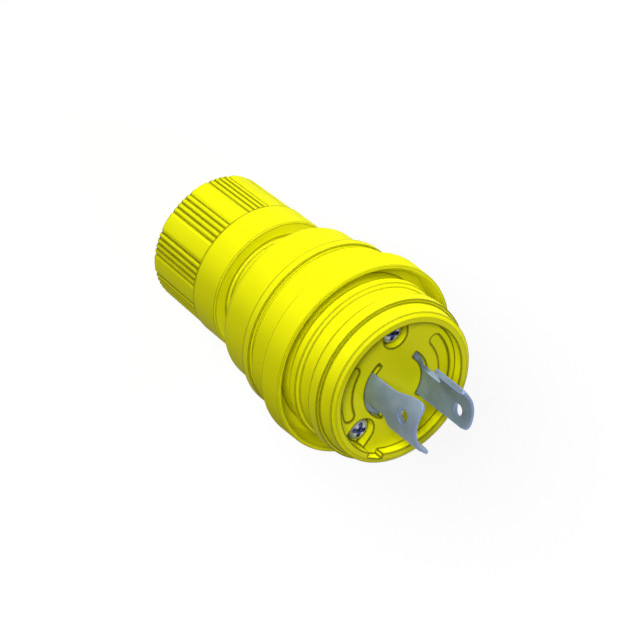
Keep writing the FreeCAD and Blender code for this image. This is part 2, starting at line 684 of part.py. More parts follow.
def make_blade(name, neck, head, slot, flared):
    """A locking blade: tang, shoulder, base in its slot, neck, and head with its lug.

    neck, head and slot are pairs of start angle and sweep. A flared blade widens to its head
    along a slant on the side without the lug."""
    body = new_body(name)
    radii = (size.blade_inner_radius, blade_outer_radius)
    gap = size.slot_end_gap
    centre = neck[0] + neck[1] / 2
    sector(body, "tang", radii, (tang_low, shoulder_low),
           centre - size.tang_half_angle, size.tang_half_angle * 2)
    sector(body, "shoulder", radii, (shoulder_low, carrier_rear),
           slot[0] - size.shoulder_extra, slot[1] + size.shoulder_extra * 2)
    sector(body, "base", radii, (carrier_rear, base_top), slot[0] + gap, slot[1] - gap * 2)
    sector(body, "neck", radii, (base_top, tip_z), neck[0], neck[1])
    lug_end = head[0] + head[1]
    blade = sector(body, "lug", radii, (lug_z, tip_z), neck[0], lug_end - neck[0])
    if flared:
        blade = add_flare(body, radii, neck, head)
    neck_end = neck[0] + neck[1]

    def at_corner(middle, angle, height):
        turn = math.degrees(math.atan2(middle.y, middle.x)) - angle.value
        off = (turn + FULL_TURN / 2) % FULL_TURN - FULL_TURN / 2
        return abs(off) < NEAR and abs(middle.z - height.value) < NEAR

    blade = soften(body, "Fillet", "lug_root", blade, size.lug_round,
                   lambda e, m: at_corner(m, neck_end, lug_z))
    blade = soften(body, "Fillet", "lug_corner", blade, size.lug_corner_round,
                   lambda e, m: at_corner(m, lug_end, lug_z))
    blade = soften(body, "Fillet", "tip_corner", blade, size.tip_corner_round,
                   lambda e, m: at_corner(m, head[0], tip_z))
    blade = soften(body, "Fillet", "lug_tip_corner", blade, size.lug_tip_round,
                   lambda e, m: at_corner(m, lug_end, tip_z))
    bevel_low = tip_z - size.tip_bevel_len
    beyond = tip_z + size.tip_bevel_len
    for side, face, inward in (("outer", blade_outer_radius, -size.tip_bevel_depth),
                               ("inner", size.blade_inner_radius, size.tip_bevel_depth)):
        turned(body, f"{side}_bevel", [
            (face, bevel_low), (face + inward * 2, beyond), (face - inward * 2, beyond),
            (face - inward * 2, bevel_low)], cut=True)
    hole_sketch = new_sketch(body, "hole_outline", "YZ_Plane", turn=centre)
    circle(hole_sketch, ZERO, face_z + size.blade_hole_height, size.blade_hole_radius)
    hole = pocket(body, "hole", hole_sketch, blade_outer_radius + CUT_MARGIN)
    hole.Reversed = True
    screw_sketch = new_sketch(body, "terminal_hole_outline", "YZ_Plane", turn=centre)
    circle(screw_sketch, ZERO, terminal_screw_z,
           size.terminal_shank_radius + size.terminal_hole_gap)
    screw_hole = pocket(body, "terminal_hole", screw_sketch, blade_outer_radius + CUT_MARGIN)
    screw_hole.Reversed = True
    return body


def add_flare(body, radii, neck, head):
    """Widen a blade to its head on the side without the lug, and cut the slant below."""
    low = face_z + size.flare_height
    widening = neck[0] - head[0]
    sector(body, "flare", radii, (low, tip_z), head[0], widening)
    sketch = new_sketch(body, "slant_outline", "YZ_Plane", turn=neck[0])
    reach = blade_outer_radius * sin_of(widening) * -OVERCUT
    polygon(sketch, [(ZERO, low), (reach, low + size.flare_len * OVERCUT), (reach, low)])
    slant = pocket(body, "slant", sketch, blade_outer_radius + CUT_MARGIN)
    slant.Reversed = True
    return slant


def make_terminal_body():
    """The insulator behind the carrier, with a pocket for each terminal."""
    body = new_body("terminal_body")
    turned(body, "drum", [
        (ZERO, terminal_rear), (terminal_body_radius, terminal_rear),
        (terminal_body_radius, carrier_rear), (ZERO, carrier_rear)])
    radii = (size.blade_inner_radius - size.shoulder_gap, blade_outer_radius + size.shoulder_gap)
    low = shoulder_low - size.shoulder_gap
    spare = size.shoulder_extra + size.slot_end_gap
    for name, centre, slot in (("wide", wide_centre, wide_slot),
                               ("narrow", narrow_centre, narrow_slot)):
        sketch = new_sketch(body, f"{name}_pocket_outline", "XY_Plane",
                            lift=carrier_rear, turn=centre)
        box_outline(sketch, terminal_pocket_inner, terminal_body_radius + CUT_MARGIN,
                    -size.terminal_pocket_half, size.terminal_pocket_half)
        pocket(body, f"{name}_pocket", sketch,
               size.terminal_body_len - size.terminal_pocket_floor)
        sector(body, f"{name}_shoulder_seat", radii, (low, carrier_rear + CUT_MARGIN),
               slot[0] - spare, slot[1] + spare * 2, cut=True)
        round_hole(body, f"{name}_wire_hole", terminal_rear + size.terminal_pocket_floor,
                   size.terminal_pocket_floor, size.wire_hole_radius,
                   size.blade_inner_radius - size.wire_hole_inset, centre)
    for name, angle in (("upper", size.upper_screw_angle), ("lower", size.lower_screw_angle)):
        round_hole(body, f"{name}_boss_cut", carrier_rear, size.terminal_body_len,
                   size.boss_radius + size.boss_gap, screw_circle, angle)
    for name, angle in (("upper", size.upper_retainer_angle),
                        ("lower", size.lower_retainer_angle)):
        round_hole(body, f"{name}_retainer_hole", carrier_rear, size.terminal_body_len,
                   size.retainer_shank_radius + size.screw_hole_gap,
                   retainer_circle, angle)
        round_hole(body, f"{name}_retainer_seat", terminal_rear + size.retainer_head_len,
                   size.retainer_head_len, size.retainer_head_radius + size.retainer_head_gap,
                   retainer_circle, angle)
    return body


def make_terminal_screw(name, centre):
    """A terminal screw that points at the plug's axis, with a slotted head."""
    body = new_body(name)
    seat = blade_outer_radius + size.terminal_head_gap
    shank = seat - terminal_pocket_inner - size.terminal_tip_gap
    outline = new_sketch(body, "screw_outline", "XZ_Plane")
    polygon(outline, [
        (ZERO, -size.terminal_head_len), (size.terminal_head_radius, -size.terminal_head_len),
        (size.terminal_head_radius, ZERO), (size.terminal_shank_radius, ZERO),
        (size.terminal_shank_radius, shank), (ZERO, shank)])
    revolve(body, "screw", outline, as_size(FULL_TURN), False)
    slot = new_sketch(body, "slot_outline", "XY_Plane",
                      lift=size.recess_depth - size.terminal_head_len)
    box_outline(slot, -size.terminal_head_radius - CUT_MARGIN,
                size.terminal_head_radius + CUT_MARGIN,
                -size.recess_half_width, size.recess_half_width)
    pocket(body, "slot", slot, size.recess_depth)
    point_inwards(body, seat, centre)
    return body


def point_inwards(body, distance, centre):
    """Lay a body whose +Z leads to the plug's axis, at a distance from it and an angle."""
    lay = Rotation(Vector(0, 1, 0), -QUARTER_TURN)
    turn = Rotation(Vector(0, 0, 1), centre.value)
    body.Placement = Placement(Vector(), turn.multiply(lay))
    bind(body, "Placement.Base.x", distance * cos_of(centre))
    bind(body, "Placement.Base.y", distance * sin_of(centre))
    bind(body, "Placement.Base.z", terminal_screw_z)


def make_clamp_nut(name, centre):
    """A square nut that the terminal screw pulls towards the blade."""
    body = new_body(name)
    half = size.clamp_side / 2
    outline = new_sketch(body, "plate_outline", "XY_Plane")
    box_outline(outline, -half, half, -half, half)
    pad(body, "plate", outline, size.clamp_thickness)
    round_hole(body, "thread_hole", size.clamp_thickness, size.clamp_thickness,
               size.terminal_shank_radius + size.thread_gap)
    point_inwards(body, clamp_front, centre)
    return body


def place_on_circle(body, circle_radius, angle, height):
    """Stand a body on a circle round the plug's axis."""
    bind(body, "Placement.Base.x", circle_radius * cos_of(angle))
    bind(body, "Placement.Base.y", circle_radius * sin_of(angle))
    bind(body, "Placement.Base.z", height)


def make_assembly_screw(name, angle):
    """A pan head screw with a cross recess, from the face into the housing's boss."""
    body = new_body(name)
    side = size.head_side_len
    top = side + size.head_dome_len
    turned(body, "screw", [
        (ZERO, -size.shank_len), (size.shank_radius, -size.shank_len),
        (size.shank_radius, ZERO), (size.head_radius, ZERO), (size.head_radius, side),
        (size.head_dome_radius, top), (ZERO, top)])
    arms = ((size.recess_arm, size.recess_half_width), (size.recess_half_width, size.recess_arm))
    for index, (across, up) in enumerate(arms):
        sketch = new_sketch(body, f"recess_{index}_outline", "XY_Plane", lift=top)
        box_outline(sketch, -across, across, -up, up)
        pocket(body, f"recess_{index}", sketch, size.recess_depth)
    place_on_circle(body, screw_circle, angle, head_seat)
    return body


def make_thread_insert(name, angle):
    """A brass insert in the top of a boss."""
    body = new_body(name)
    inner = size.shank_radius + size.thread_gap
    turned(body, "insert", [
        (inner, ZERO), (size.insert_radius, ZERO),
        (size.insert_radius, size.insert_len), (inner, size.insert_len)])
    place_on_circle(body, screw_circle, angle, insert_floor)
    return body


def make_retainer_screw(name, angle):
    """A slotted screw from the terminal body's rear face into the carrier."""
    body = new_body(name)
    shank = size.terminal_body_len - size.retainer_head_len + size.retainer_bite
    turned(body, "screw", [
        (ZERO, ZERO), (size.retainer_head_radius, ZERO),
        (size.retainer_head_radius, size.retainer_head_len),
        (size.retainer_shank_radius, size.retainer_head_len),
        (size.retainer_shank_radius, size.retainer_head_len + shank),
        (ZERO, size.retainer_head_len + shank)])
    sketch = new_sketch(body, "slot_outline", "XY_Plane", lift=size.recess_depth)
    box_outline(sketch, -size.retainer_head_radius - CUT_MARGIN,
                size.retainer_head_radius + CUT_MARGIN,
                -size.recess_half_width, size.recess_half_width)
    pocket(body, "slot", sketch, size.recess_depth)
    place_on_circle(body, retainer_circle, angle, terminal_rear)
    return body


# Each blade's slot, neck and head, as pairs of start angle and sweep.
wide_slot = (size.wide_slot_start, size.wide_slot_sweep)
wide_neck = (wide_slot[0] + size.wide_neck_inset, size.neck_sweep)
wide_head = (wide_slot[0] + size.wide_head_inset,
             wide_slot[1] - size.wide_head_inset - size.wide_lug_inset)
wide_centre = wide_neck[0] + size.neck_sweep / 2
narrow_slot = (size.narrow_slot_start, size.narrow_slot_sweep)
narrow_neck = (narrow_slot[0] + size.narrow_neck_inset, size.neck_sweep)
narrow_head = (narrow_neck[0],
               narrow_slot[1] - size.narrow_neck_inset - size.narrow_lug_inset)
narrow_centre = narrow_neck[0] + size.neck_sweep / 2

pieces = [
    make_cord_nut(),
    make_slip_ring(),
    make_cord_bushing(),
    make_housing(),
    make_seal_skirt(),
    make_blade_carrier(),
    make_carrier_gasket(),
    make_terminal_body(),
    make_blade("wide_blade", wide_neck, wide_head, wide_slot, flared=True),
    make_blade("narrow_blade", narrow_neck, narrow_head, narrow_slot, flared=False),
    make_terminal_screw("terminal_screw_wide", wide_centre),
    make_terminal_screw("terminal_screw_narrow", narrow_centre),
    make_clamp_nut("clamp_nut_wide", wide_centre),
    make_clamp_nut("clamp_nut_narrow", narrow_centre),
    make_assembly_screw("assembly_screw_upper", size.upper_screw_angle),
    make_assembly_screw("assembly_screw_lower", size.lower_screw_angle),
    make_thread_insert("thread_insert_upper", size.upper_screw_angle),
    make_thread_insert("thread_insert_lower", size.lower_screw_angle),
    make_retainer_screw("retainer_screw_upper", size.upper_retainer_angle),
    make_retainer_screw("retainer_screw_lower", size.lower_retainer_angle),
]
doc.recompute()

for item in doc.Objects:
    if {"Invalid", "Error"} & set(item.State):
        raise RuntimeError(f"{item.Name} did not build: {item.State}")
os.makedirs("parts", exist_ok=True)
for piece in pieces:
    shape = piece.Shape
    if shape.isNull() or not shape.isValid() or not shape.Solids:
        raise RuntimeError(f"{piece.Label} has no valid solid")
    shape.exportStep(os.path.join("parts", piece.Label + ".step"))
    box = shape.BoundBox
    print(f"{piece.Label}: {len(shape.Solids)} solid, {shape.Volume:.1f} mm3, "
          f"z {box.ZMin:.2f} to {box.ZMax:.2f}")
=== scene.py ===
"""Looks of a locking power plug for wet places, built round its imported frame.

The plug stands on its cord nut. Its axis is +Z, towards the blades, and the neck of the narrow
blade lies towards +X. Sizes here are millimetres and degrees, counted from +X towards +Y. The
meshes are in metres.
"""

import json
import logging
import math
from collections.abc import Callable, Iterator, Sequence
from contextlib import contextmanager
from dataclasses import dataclass
from enum import Enum

import bmesh
import bpy
from mathutils import Matrix, Vector

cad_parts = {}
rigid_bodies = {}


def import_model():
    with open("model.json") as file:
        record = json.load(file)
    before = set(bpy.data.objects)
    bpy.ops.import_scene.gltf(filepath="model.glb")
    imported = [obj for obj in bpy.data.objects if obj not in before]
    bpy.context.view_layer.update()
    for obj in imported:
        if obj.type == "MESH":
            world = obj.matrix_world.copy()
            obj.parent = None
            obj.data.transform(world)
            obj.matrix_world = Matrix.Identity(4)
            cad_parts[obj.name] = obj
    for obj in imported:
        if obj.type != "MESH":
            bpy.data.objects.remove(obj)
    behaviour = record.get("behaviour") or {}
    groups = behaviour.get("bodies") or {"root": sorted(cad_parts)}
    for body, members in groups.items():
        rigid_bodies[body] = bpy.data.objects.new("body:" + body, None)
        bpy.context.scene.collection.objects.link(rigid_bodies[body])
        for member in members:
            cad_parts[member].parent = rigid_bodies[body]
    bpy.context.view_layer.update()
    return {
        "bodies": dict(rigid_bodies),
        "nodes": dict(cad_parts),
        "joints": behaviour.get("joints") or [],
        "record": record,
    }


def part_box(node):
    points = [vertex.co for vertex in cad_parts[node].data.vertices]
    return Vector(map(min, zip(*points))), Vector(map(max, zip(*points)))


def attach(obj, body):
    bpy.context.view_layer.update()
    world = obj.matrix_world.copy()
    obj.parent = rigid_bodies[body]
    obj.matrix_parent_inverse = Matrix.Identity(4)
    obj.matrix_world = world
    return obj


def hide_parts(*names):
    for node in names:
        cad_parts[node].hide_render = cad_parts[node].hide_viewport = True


# Metres in a millimetre, and degrees in a turn.
MM = 0.001
FULL_TURN = 360.0

# Two places this near, in millimetres, count as one. TOUCH is the finer limit for a bent sheet.
NEAR = 0.002
TOUCH = 0.001

# How far a cutter or a joined piece runs past the face that it crosses.
MARGIN = 1.0

# Facets across a rounded edge, across one from WIDE_ROUND up and across a blank's corner.
ROUND_FACETS = 3
WIDE_ROUND = 1.0
WIDE_ROUND_FACETS = 10
CORNER_FACETS = 6

# Noise lies mostly between LOW and HIGH. Its dark colour is full at DARK and its light one at
# LIGHT, and each finer octave counts ROUGHNESS times as much as the one before it.
NOISE_LOW = 0.3
NOISE_HIGH = 0.7
NOISE_DARK = 0.35
NOISE_LIGHT = 0.65
NOISE_ROUGHNESS = 0.55

# Red, green and blue, and the two ends of a stretch.
Colour = tuple[float, float, float]
Span = tuple[float, float]

log = logging.getLogger("locking_plug")


class Body(Enum):
    """The rigid bodies that pieces ride on."""

    PLUG = "plug_body"
    RING = "thrust_ring"
    NUT = "nut"


class Slot(Enum):
    """The record's material slots."""

    YELLOW_NYLON = "yellow_nylon"
    YELLOW_RUBBER = "yellow_rubber"
    SLIP_NYLON = "slip_nylon"
    BLACK_RUBBER = "black_rubber"
    DARK_INSULATOR = "dark_insulator"
    BLADE_METAL = "blade_metal"
    SCREW_STEEL = "screw_steel"
    SCREW_BRASS = "screw_brass"


class Ends(Enum):
    """How a turned outline closes."""

    JOINED = "the last ring meets the first"
    CAPPED = "both ends are filled"


@dataclass(frozen=True)
class Ring:
    """One edge of a turned outline, in millimetres. soft is how wide the edge is rounded."""

    radius: float
    height: float
    soft: float = 0.0


@dataclass(frozen=True)
class Sector:
    """A piece of a ring round the plug's axis, between two radii, two heights and two angles."""

    inner: float
    outer: float
    low: float
    high: float
    start: float
    end: float


@dataclass(frozen=True)
class Corner:
    """A corner of a flat blank, in millimetres. soft is how wide the corner is rounded."""

    across: float
    up: float
    soft: float = 0.0


@dataclass(frozen=True)
class Plan:
    """Sizes, places and angles that more than one piece needs.

    The two screws and the keyway are given by their angles on the face, and the slots by the
    angles of their two ends.
    """

    cord_hole: float = 8.6
    nut_wall: float = 3.0
    body_len: float = 13.5
    flange_len: float = 3.0
    flange_radius: float = 26.1
    screw_circle: float = 16.2
    upper_screw: float = 106.0
    lower_screw: float = 241.2
    keyway: float = 261.0
    wide_slot: Span = (137.5, 259.5)
    narrow_slot: Span = (-25.0, 65.5)


PLAN = Plan()


def deselect() -> None:
    """Deselect everything."""
    bpy.ops.object.select_all(action="DESELECT")


def pick(piece: bpy.types.Object) -> None:
    """Select one piece and nothing else.

    Args:
        piece: The piece.
    """
    deselect()
    piece.select_set(True)
    bpy.context.view_layer.objects.active = piece


def settle(piece: bpy.types.Object) -> None:
    """Move a piece's place, turn and scale into its mesh."""
    pick(piece)
    bpy.ops.object.transform_apply(location=True, rotation=True, scale=True)


@contextmanager
def editing(piece: bpy.types.Object) -> Iterator[None]:
    """Open a piece in edit mode for the lines of a with block.

    Args:
        piece: The piece.

    Returns:
        Nothing that the block can use.
    """
    pick(piece)
    bpy.ops.object.mode_set(mode="EDIT")
    bpy.ops.mesh.select_mode(type="VERT")
    yield
    bpy.ops.object.mode_set(mode="OBJECT")


def select_vertices(piece: bpy.types.Object, test: Callable[[Vector], bool]) -> None:
    """Select the vertices of an open piece by their place.

    Args:
        piece: The piece, in edit mode.
        test: Says of a place, in millimetres, whether its vertex is selected.
    """
    bpy.ops.mesh.select_all(action="DESELECT")
    bpy.ops.mesh.select_mode(type="VERT")
    mesh = bmesh.from_edit_mesh(piece.data)
    for vertex in mesh.verts:
        vertex.select_set(test(vertex.co / MM))
    mesh.select_flush_mode()
    bmesh.update_edit_mesh(piece.data)


def select_edges(piece: bpy.types.Object, test: Callable[[Vector, Vector], bool]) -> None:
    """Select the edges of an open piece by the places of their two ends.

    Args:
        piece: The piece, in edit mode.
        test: Says of two places, in millimetres, whether the edge between them is selected.
    """
    bpy.ops.mesh.select_all(action="DESELECT")
    bpy.ops.mesh.select_mode(type="EDGE")
    mesh = bmesh.from_edit_mesh(piece.data)
    for edge in mesh.edges:
        first, last = edge.verts
        edge.select_set(test(first.co / MM, last.co / MM))
    mesh.select_flush_mode()
    bmesh.update_edit_mesh(piece.data)


def on_ring(place: Vector, ring: Ring) -> bool:
    """Whether a place in millimetres lies on a ring."""
    radius = math.hypot(place.x, place.y)
    return abs(radius - ring.radius) < NEAR and abs(place.z - ring.height) < NEAR


def soften(piece: bpy.types.Object, rings: Sequence[Ring]) -> None:
    """Round the edges of a turned piece where its rings ask for it.

    Args:
        piece: The turned piece, in edit mode.
        rings: The outline that it was turned from.
    """
    for width in sorted({ring.soft for ring in rings if ring.soft}, reverse=True):
        chosen = [ring for ring in rings if ring.soft == width]
        facets = ROUND_FACETS if width < WIDE_ROUND else WIDE_ROUND_FACETS
        select_edges(piece, lambda a, b: any(on_ring(a, r) and on_ring(b, r) for r in chosen))
        bpy.ops.mesh.bevel(offset=width * MM, segments=facets, affect="EDGES")


def turn(name: str, rings: Sequence[Ring], ends: Ends = Ends.JOINED,
         segments: int = 256) -> bpy.types.Object:
    """Turn an outline round the plug's axis, one extruded ring after another.

    Args:
        name: The piece's name.
        rings: The outline, in order.
        ends: Whether the outline closes on itself or gets two caps.
        segments: Facets round the axis.

    Returns:
        The turned piece, with its edges rounded.
    """
    deselect()
    start = rings[0]
    bpy.ops.mesh.primitive_circle_add(vertices=segments, radius=start.radius * MM,
                                      location=(0, 0, start.height * MM))
    piece = bpy.context.object
    piece.name = name
    settle(piece)
    route = [*rings[1:], start] if ends is Ends.JOINED else list(rings[1:])
    with editing(piece):
        bpy.ops.mesh.select_all(action="SELECT")
        last = start
        for ring in route:
            rise = (ring.height - last.height) * MM
            growth = ring.radius / last.radius
            bpy.ops.mesh.extrude_region_move(TRANSFORM_OT_translate={"value": (0, 0, rise)})
            bpy.ops.transform.resize(value=(growth, growth, 1),
                                     center_override=(0, 0, ring.height * MM))
            last = ring
        if ends is Ends.CAPPED:
            for cap in (rings[-1], start):
                select_edges(piece, lambda a, b, cap=cap: on_ring(a, cap) and on_ring(b, cap))
                bpy.ops.mesh.edge_face_add()
        bpy.ops.mesh.select_all(action="SELECT")
        bpy.ops.mesh.remove_doubles(threshold=NEAR * MM)
        bpy.ops.mesh.normals_make_consistent(inside=False)
        soften(piece, rings)
    return piece


def ring_sector(name: str, sector: Sector, steps: int = 48) -> bpy.types.Object:
    """Spin an upright rectangle into part of a ring.

    Args:
        name: The new object's name.
        sector: Its size and place.
        steps: Facets along the sweep.

    Returns:
        The closed sector.
    """
    deselect()
    end = math.radians(sector.end)
    middle = (sector.inner + sector.outer) / 2 * MM
    place = (middle * math.cos(end), middle * math.sin(end), (sector.low + sector.high) / 2 * MM)
    bpy.ops.mesh.primitive_plane_add(size=MM, location=place, rotation=(math.pi / 2, 0, end))
    piece = bpy.context.object
    piece.name = name
    piece.scale = (sector.outer - sector.inner, sector.high - sector.low, 1)
    settle(piece)
    with editing(piece):
        bpy.ops.mesh.select_all(action="SELECT")
        bpy.ops.mesh.spin(steps=steps, angle=math.radians(sector.end - sector.start),
                          center=(0, 0, 0), axis=(0, 0, 1))
        bpy.ops.mesh.select_all(action="SELECT")
        bpy.ops.mesh.normals_make_consistent(inside=False)
    return piece


def rod(name: str, radius: float, low: float, high: float, distance: float = 0.0,
        angle: float = 0.0, sides: int = 64) -> bpy.types.Object:
    """An upright cylinder on a circle round the plug's axis.

    Args:
        name: The new object's name.
        radius: Its radius.
        low: Its lower end.
        high: Its upper end.
        distance: How far it stands from the plug's axis.
        angle: Where it stands on that circle.
        sides: Facets round it.

    Returns:
        The cylinder.
    """
    deselect()
    turned = math.radians(angle)
    place = (distance * math.cos(turned) * MM, distance * math.sin(turned) * MM,
             (low + high) / 2 * MM)
    bpy.ops.mesh.primitive_cylinder_add(vertices=sides, radius=radius * MM,
                                        depth=(high - low) * MM, location=place)
    piece = bpy.context.object
    piece.name = name
    settle(piece)
    return piece


def block(name: str, size: Vector, centre: Vector, angle: float = 0.0) -> bpy.types.Object:
    """A box, turned about the plug's axis after it is placed.

    Args:
        name: The new object's name.
        size: Its three sizes in millimetres.
        centre: Its centre in millimetres, before the turn.
        angle: The turn about the plug's axis.

    Returns:
        The box.
    """
    deselect()
    turned = Matrix.Rotation(math.radians(angle), 3, "Z")
    bpy.ops.mesh.primitive_cube_add(size=MM, location=turned @ (centre * MM),
                                    rotation=(0, 0, math.radians(angle)))
    piece = bpy.context.object
    piece.name = name
    piece.scale = size
    settle(piece)
    return piece


def apply(piece: bpy.types.Object, kind: str, **settings: object) -> None:
    """Add a modifier to a piece, set it and apply it.

    Args:
        piece: The piece.
        kind: The modifier's type.
        **settings: The modifier's settings by name.
    """
    modifier = piece.modifiers.new(kind.lower(), kind)
    for name, value in settings.items():
        setattr(modifier, name, value)
    pick(piece)
    bpy.ops.object.modifier_apply(modifier=modifier.name)


def cut(piece: bpy.types.Object, *cutters: bpy.types.Object) -> None:
    """Take each cutter's space out of a piece and delete the cutter.

    Args:
        piece: The piece.
        *cutters: What is taken out of it.
    """
    for cutter in cutters:
        apply(piece, "BOOLEAN", operation="DIFFERENCE", solver="EXACT", object=cutter)
        bpy.data.objects.remove(cutter)


def unite(piece: bpy.types.Object, *others: bpy.types.Object) -> None:
    """Melt other objects into a piece.

    Args:
        piece: The piece.
        *others: What becomes part of it.
    """
    for other in others:
        apply(piece, "BOOLEAN", operation="UNION", solver="EXACT", object=other)
        bpy.data.objects.remove(other)


def ease_edges(piece: bpy.types.Object, width: float, angle: float = 35.0) -> None:
    """Round every edge of a piece that is sharper than an angle.

    Args:
        piece: The piece.
        width: How wide the rounding is, in millimetres.
        angle: The sharpness where it starts.
    """
    apply(piece, "BEVEL", width=width * MM, segments=2, limit_method="ANGLE",
          angle_limit=math.radians(angle), use_clamp_overlap=True)


def shade(piece: bpy.types.Object, angle: float = 32.0) -> None:
    """Shade a piece smooth where its faces meet at less than an angle.

    Args:
        piece: The piece.
        angle: The sharpness where an edge stays crisp.
    """
    pick(piece)
    bpy.ops.object.shade_smooth_by_angle(angle=math.radians(angle))
    apply(piece, "WEIGHTED_NORMAL", keep_sharp=True, weight=60)


@dataclass(frozen=True)
class EdgeShade:
    """Painted shade and highlight: in grooves by their share of open sky, along edges by their
    turn.
    """

    groove_reach: float = 1.3
    groove_full: float = 0.3
    groove_none: float = 0.9
    line_reach: float = 0.95
    line_full: float = 0.976
    line_none: float = 0.9965
    rays: int = 12


class Board:
    """A node tree, with short ways to add and join nodes."""

    def __init__(self, tree: bpy.types.NodeTree) -> None:
        """Empty a tree and start on it.

        Args:
            tree: The tree of a material or a world.
        """
        self.tree = tree
        self.tree.nodes.clear()

    def add(self, kind: str, **values: object) -> bpy.types.Node:
        """Add a node.

        Args:
            kind: The node's type without its ShaderNode prefix.
            **values: Settings by name. A name with a capital letter is an input.

        Returns:
            The node.
        """
        node = self.tree.nodes.new("ShaderNode" + kind)
        for name, value in values.items():
            if name[0].isupper():
                node.inputs[name.replace("_", " ")].default_value = value
            else:
                setattr(node, name, value)
        return node

    def link(self, source: bpy.types.NodeSocket, target: bpy.types.NodeSocket) -> None:
        """Join an output to an input."""
        self.tree.links.new(source, target)


class MaterialBoard(Board):
    """A new material's node tree, with the patterns that its finish is made of."""

    def __init__(self, name: str) -> None:
        """Make a material and start on its tree.

        Args:
            name: The material's name.
        """
        self.material = bpy.data.materials.new(name)
        self.material.use_nodes = True
        super().__init__(self.material.node_tree)

    def mottle(self, scale: float, detail: float, upright: float = 1.0) -> bpy.types.NodeSocket:
        """Noise in the piece's own space.

        Args:
            scale: Spots in a metre.
            detail: Octaves of finer spots.
            upright: Share of the scale along the plug's axis. A small one draws the spots out.

        Returns:
            The noise's value.
        """
        place = self.add("TexCoord")
        mapping = self.add("Mapping", Scale=(1, 1, upright))
        noise = self.add("TexNoise", Scale=scale, Detail=detail, Roughness=NOISE_ROUGHNESS)
        self.link(place.outputs["Object"], mapping.inputs["Vector"])
        self.link(mapping.outputs["Vector"], noise.inputs["Vector"])
        return noise.outputs["Fac"]

    def spread(self, value: bpy.types.NodeSocket, low: float,
               high: float) -> bpy.types.NodeSocket:
        """Map noise from its usual range to another one.

        Args:
            value: The noise.
            low: What the darkest spots become.
            high: What the lightest spots become.

        Returns:
            The mapped value.
        """
        fit = self.add("MapRange", From_Min=NOISE_LOW, From_Max=NOISE_HIGH,
                       To_Min=low, To_Max=high)
        self.link(value, fit.inputs["Value"])
        return fit.outputs["Result"]

    def tint(self, value: bpy.types.NodeSocket, dark: Colour,
             light: Colour) -> bpy.types.NodeSocket:
        """Two colours mixed by a value.

        Args:
            value: What mixes them.
            dark: The colour at its low end.
            light: The colour at its high end.

        Returns:
            The mixed colour.
        """
        ramp = self.add("ValToRGB")
        first, last = ramp.color_ramp.elements
        first.position = NOISE_DARK
        first.color = (*dark, 1)
        last.position = NOISE_LIGHT
        last.color = (*light, 1)
        self.link(value, ramp.inputs["Fac"])
        return ramp.outputs["Color"]

    def edges(self, shade: EdgeShade) -> bpy.types.NodeSocket:
        """Find narrow grooves and the edges between faces, where shade and highlight are painted.

        Args:
            shade: How far they reach and how much they count.

        Returns:
            Zero at an edge or deep in a groove, and one on open faces.
        """
        sky = self.add("AmbientOcclusion", Distance=shade.groove_reach * MM,
                       samples=shade.rays, only_local=True)
        groove = self.add("MapRange", From_Min=shade.groove_full, From_Max=shade.groove_none)
        self.link(sky.outputs["AO"], groove.inputs["Value"])
        rounded = self.add("Bevel", samples=shade.rays, Radius=shade.line_reach * MM)
        plain = self.add("NewGeometry")
        across = self.add("VectorMath", operation="DOT_PRODUCT")
        self.link(rounded.outputs["Normal"], across.inputs[0])
        self.link(plain.outputs["Normal"], across.inputs[1])
        line = self.add("MapRange", From_Min=shade.line_full, From_Max=shade.line_none)
        self.link(across.outputs["Value"], line.inputs["Value"])
        least = self.add("Math", operation="MINIMUM")
        self.link(groove.outputs["Result"], least.inputs[0])
        self.link(line.outputs["Result"], least.inputs[1])
        return least.outputs[0]

    def blend(self, share: bpy.types.NodeSocket, first: Colour,
              second: bpy.types.NodeSocket) -> bpy.types.NodeSocket:
        """Fade from a plain colour to another socket's colour.

        Args:
            share: How much of the second colour shows.
            first: The plain colour.
            second: The other colour.

        Returns:
            The mixed colour.
        """
        mix = self.add("Mix", data_type="RGBA")
        plain, other = (socket for socket in mix.inputs if socket.type == "RGBA")
        plain.default_value = (*first, 1)
        self.link(share, mix.inputs["Factor"])
        self.link(second, other)
        return next(socket for socket in mix.outputs if socket.type == "RGBA")

    def relief(self, value: bpy.types.NodeSocket, depth: float, strength: float,
               under: bpy.types.NodeSocket | None = None) -> bpy.types.NodeSocket:
        """A bump from a value.

        Args:
            value: The height.
            depth: Its reach in millimetres.
            strength: How much of it shows.
            under: A coarser relief that it lies on.

        Returns:
            The bent normal.
        """
        bump = self.add("Bump", Strength=strength, Distance=depth * MM)
        self.link(value, bump.inputs["Height"])
        if under is not None:
            self.link(under, bump.inputs["Normal"])
        return bump.outputs["Normal"]

    def close(self, colour: bpy.types.NodeSocket, roughness: bpy.types.NodeSocket,
              normal: bpy.types.NodeSocket, **values: object) -> bpy.types.Material:
        """Join the surface to the output.

        Args:
            colour: Base colour.
            roughness: Roughness.
            normal: Bent normal.
            **values: Other inputs of the surface by name.

        Returns:
            The material.
        """
        surface = self.add("BsdfPrincipled", **values)
        output = self.add("OutputMaterial")
        self.link(colour, surface.inputs["Base Color"])
        self.link(roughness, surface.inputs["Roughness"])
        self.link(normal, surface.inputs["Normal"])
        self.link(surface.outputs["BSDF"], output.inputs["Surface"])
        return self.material


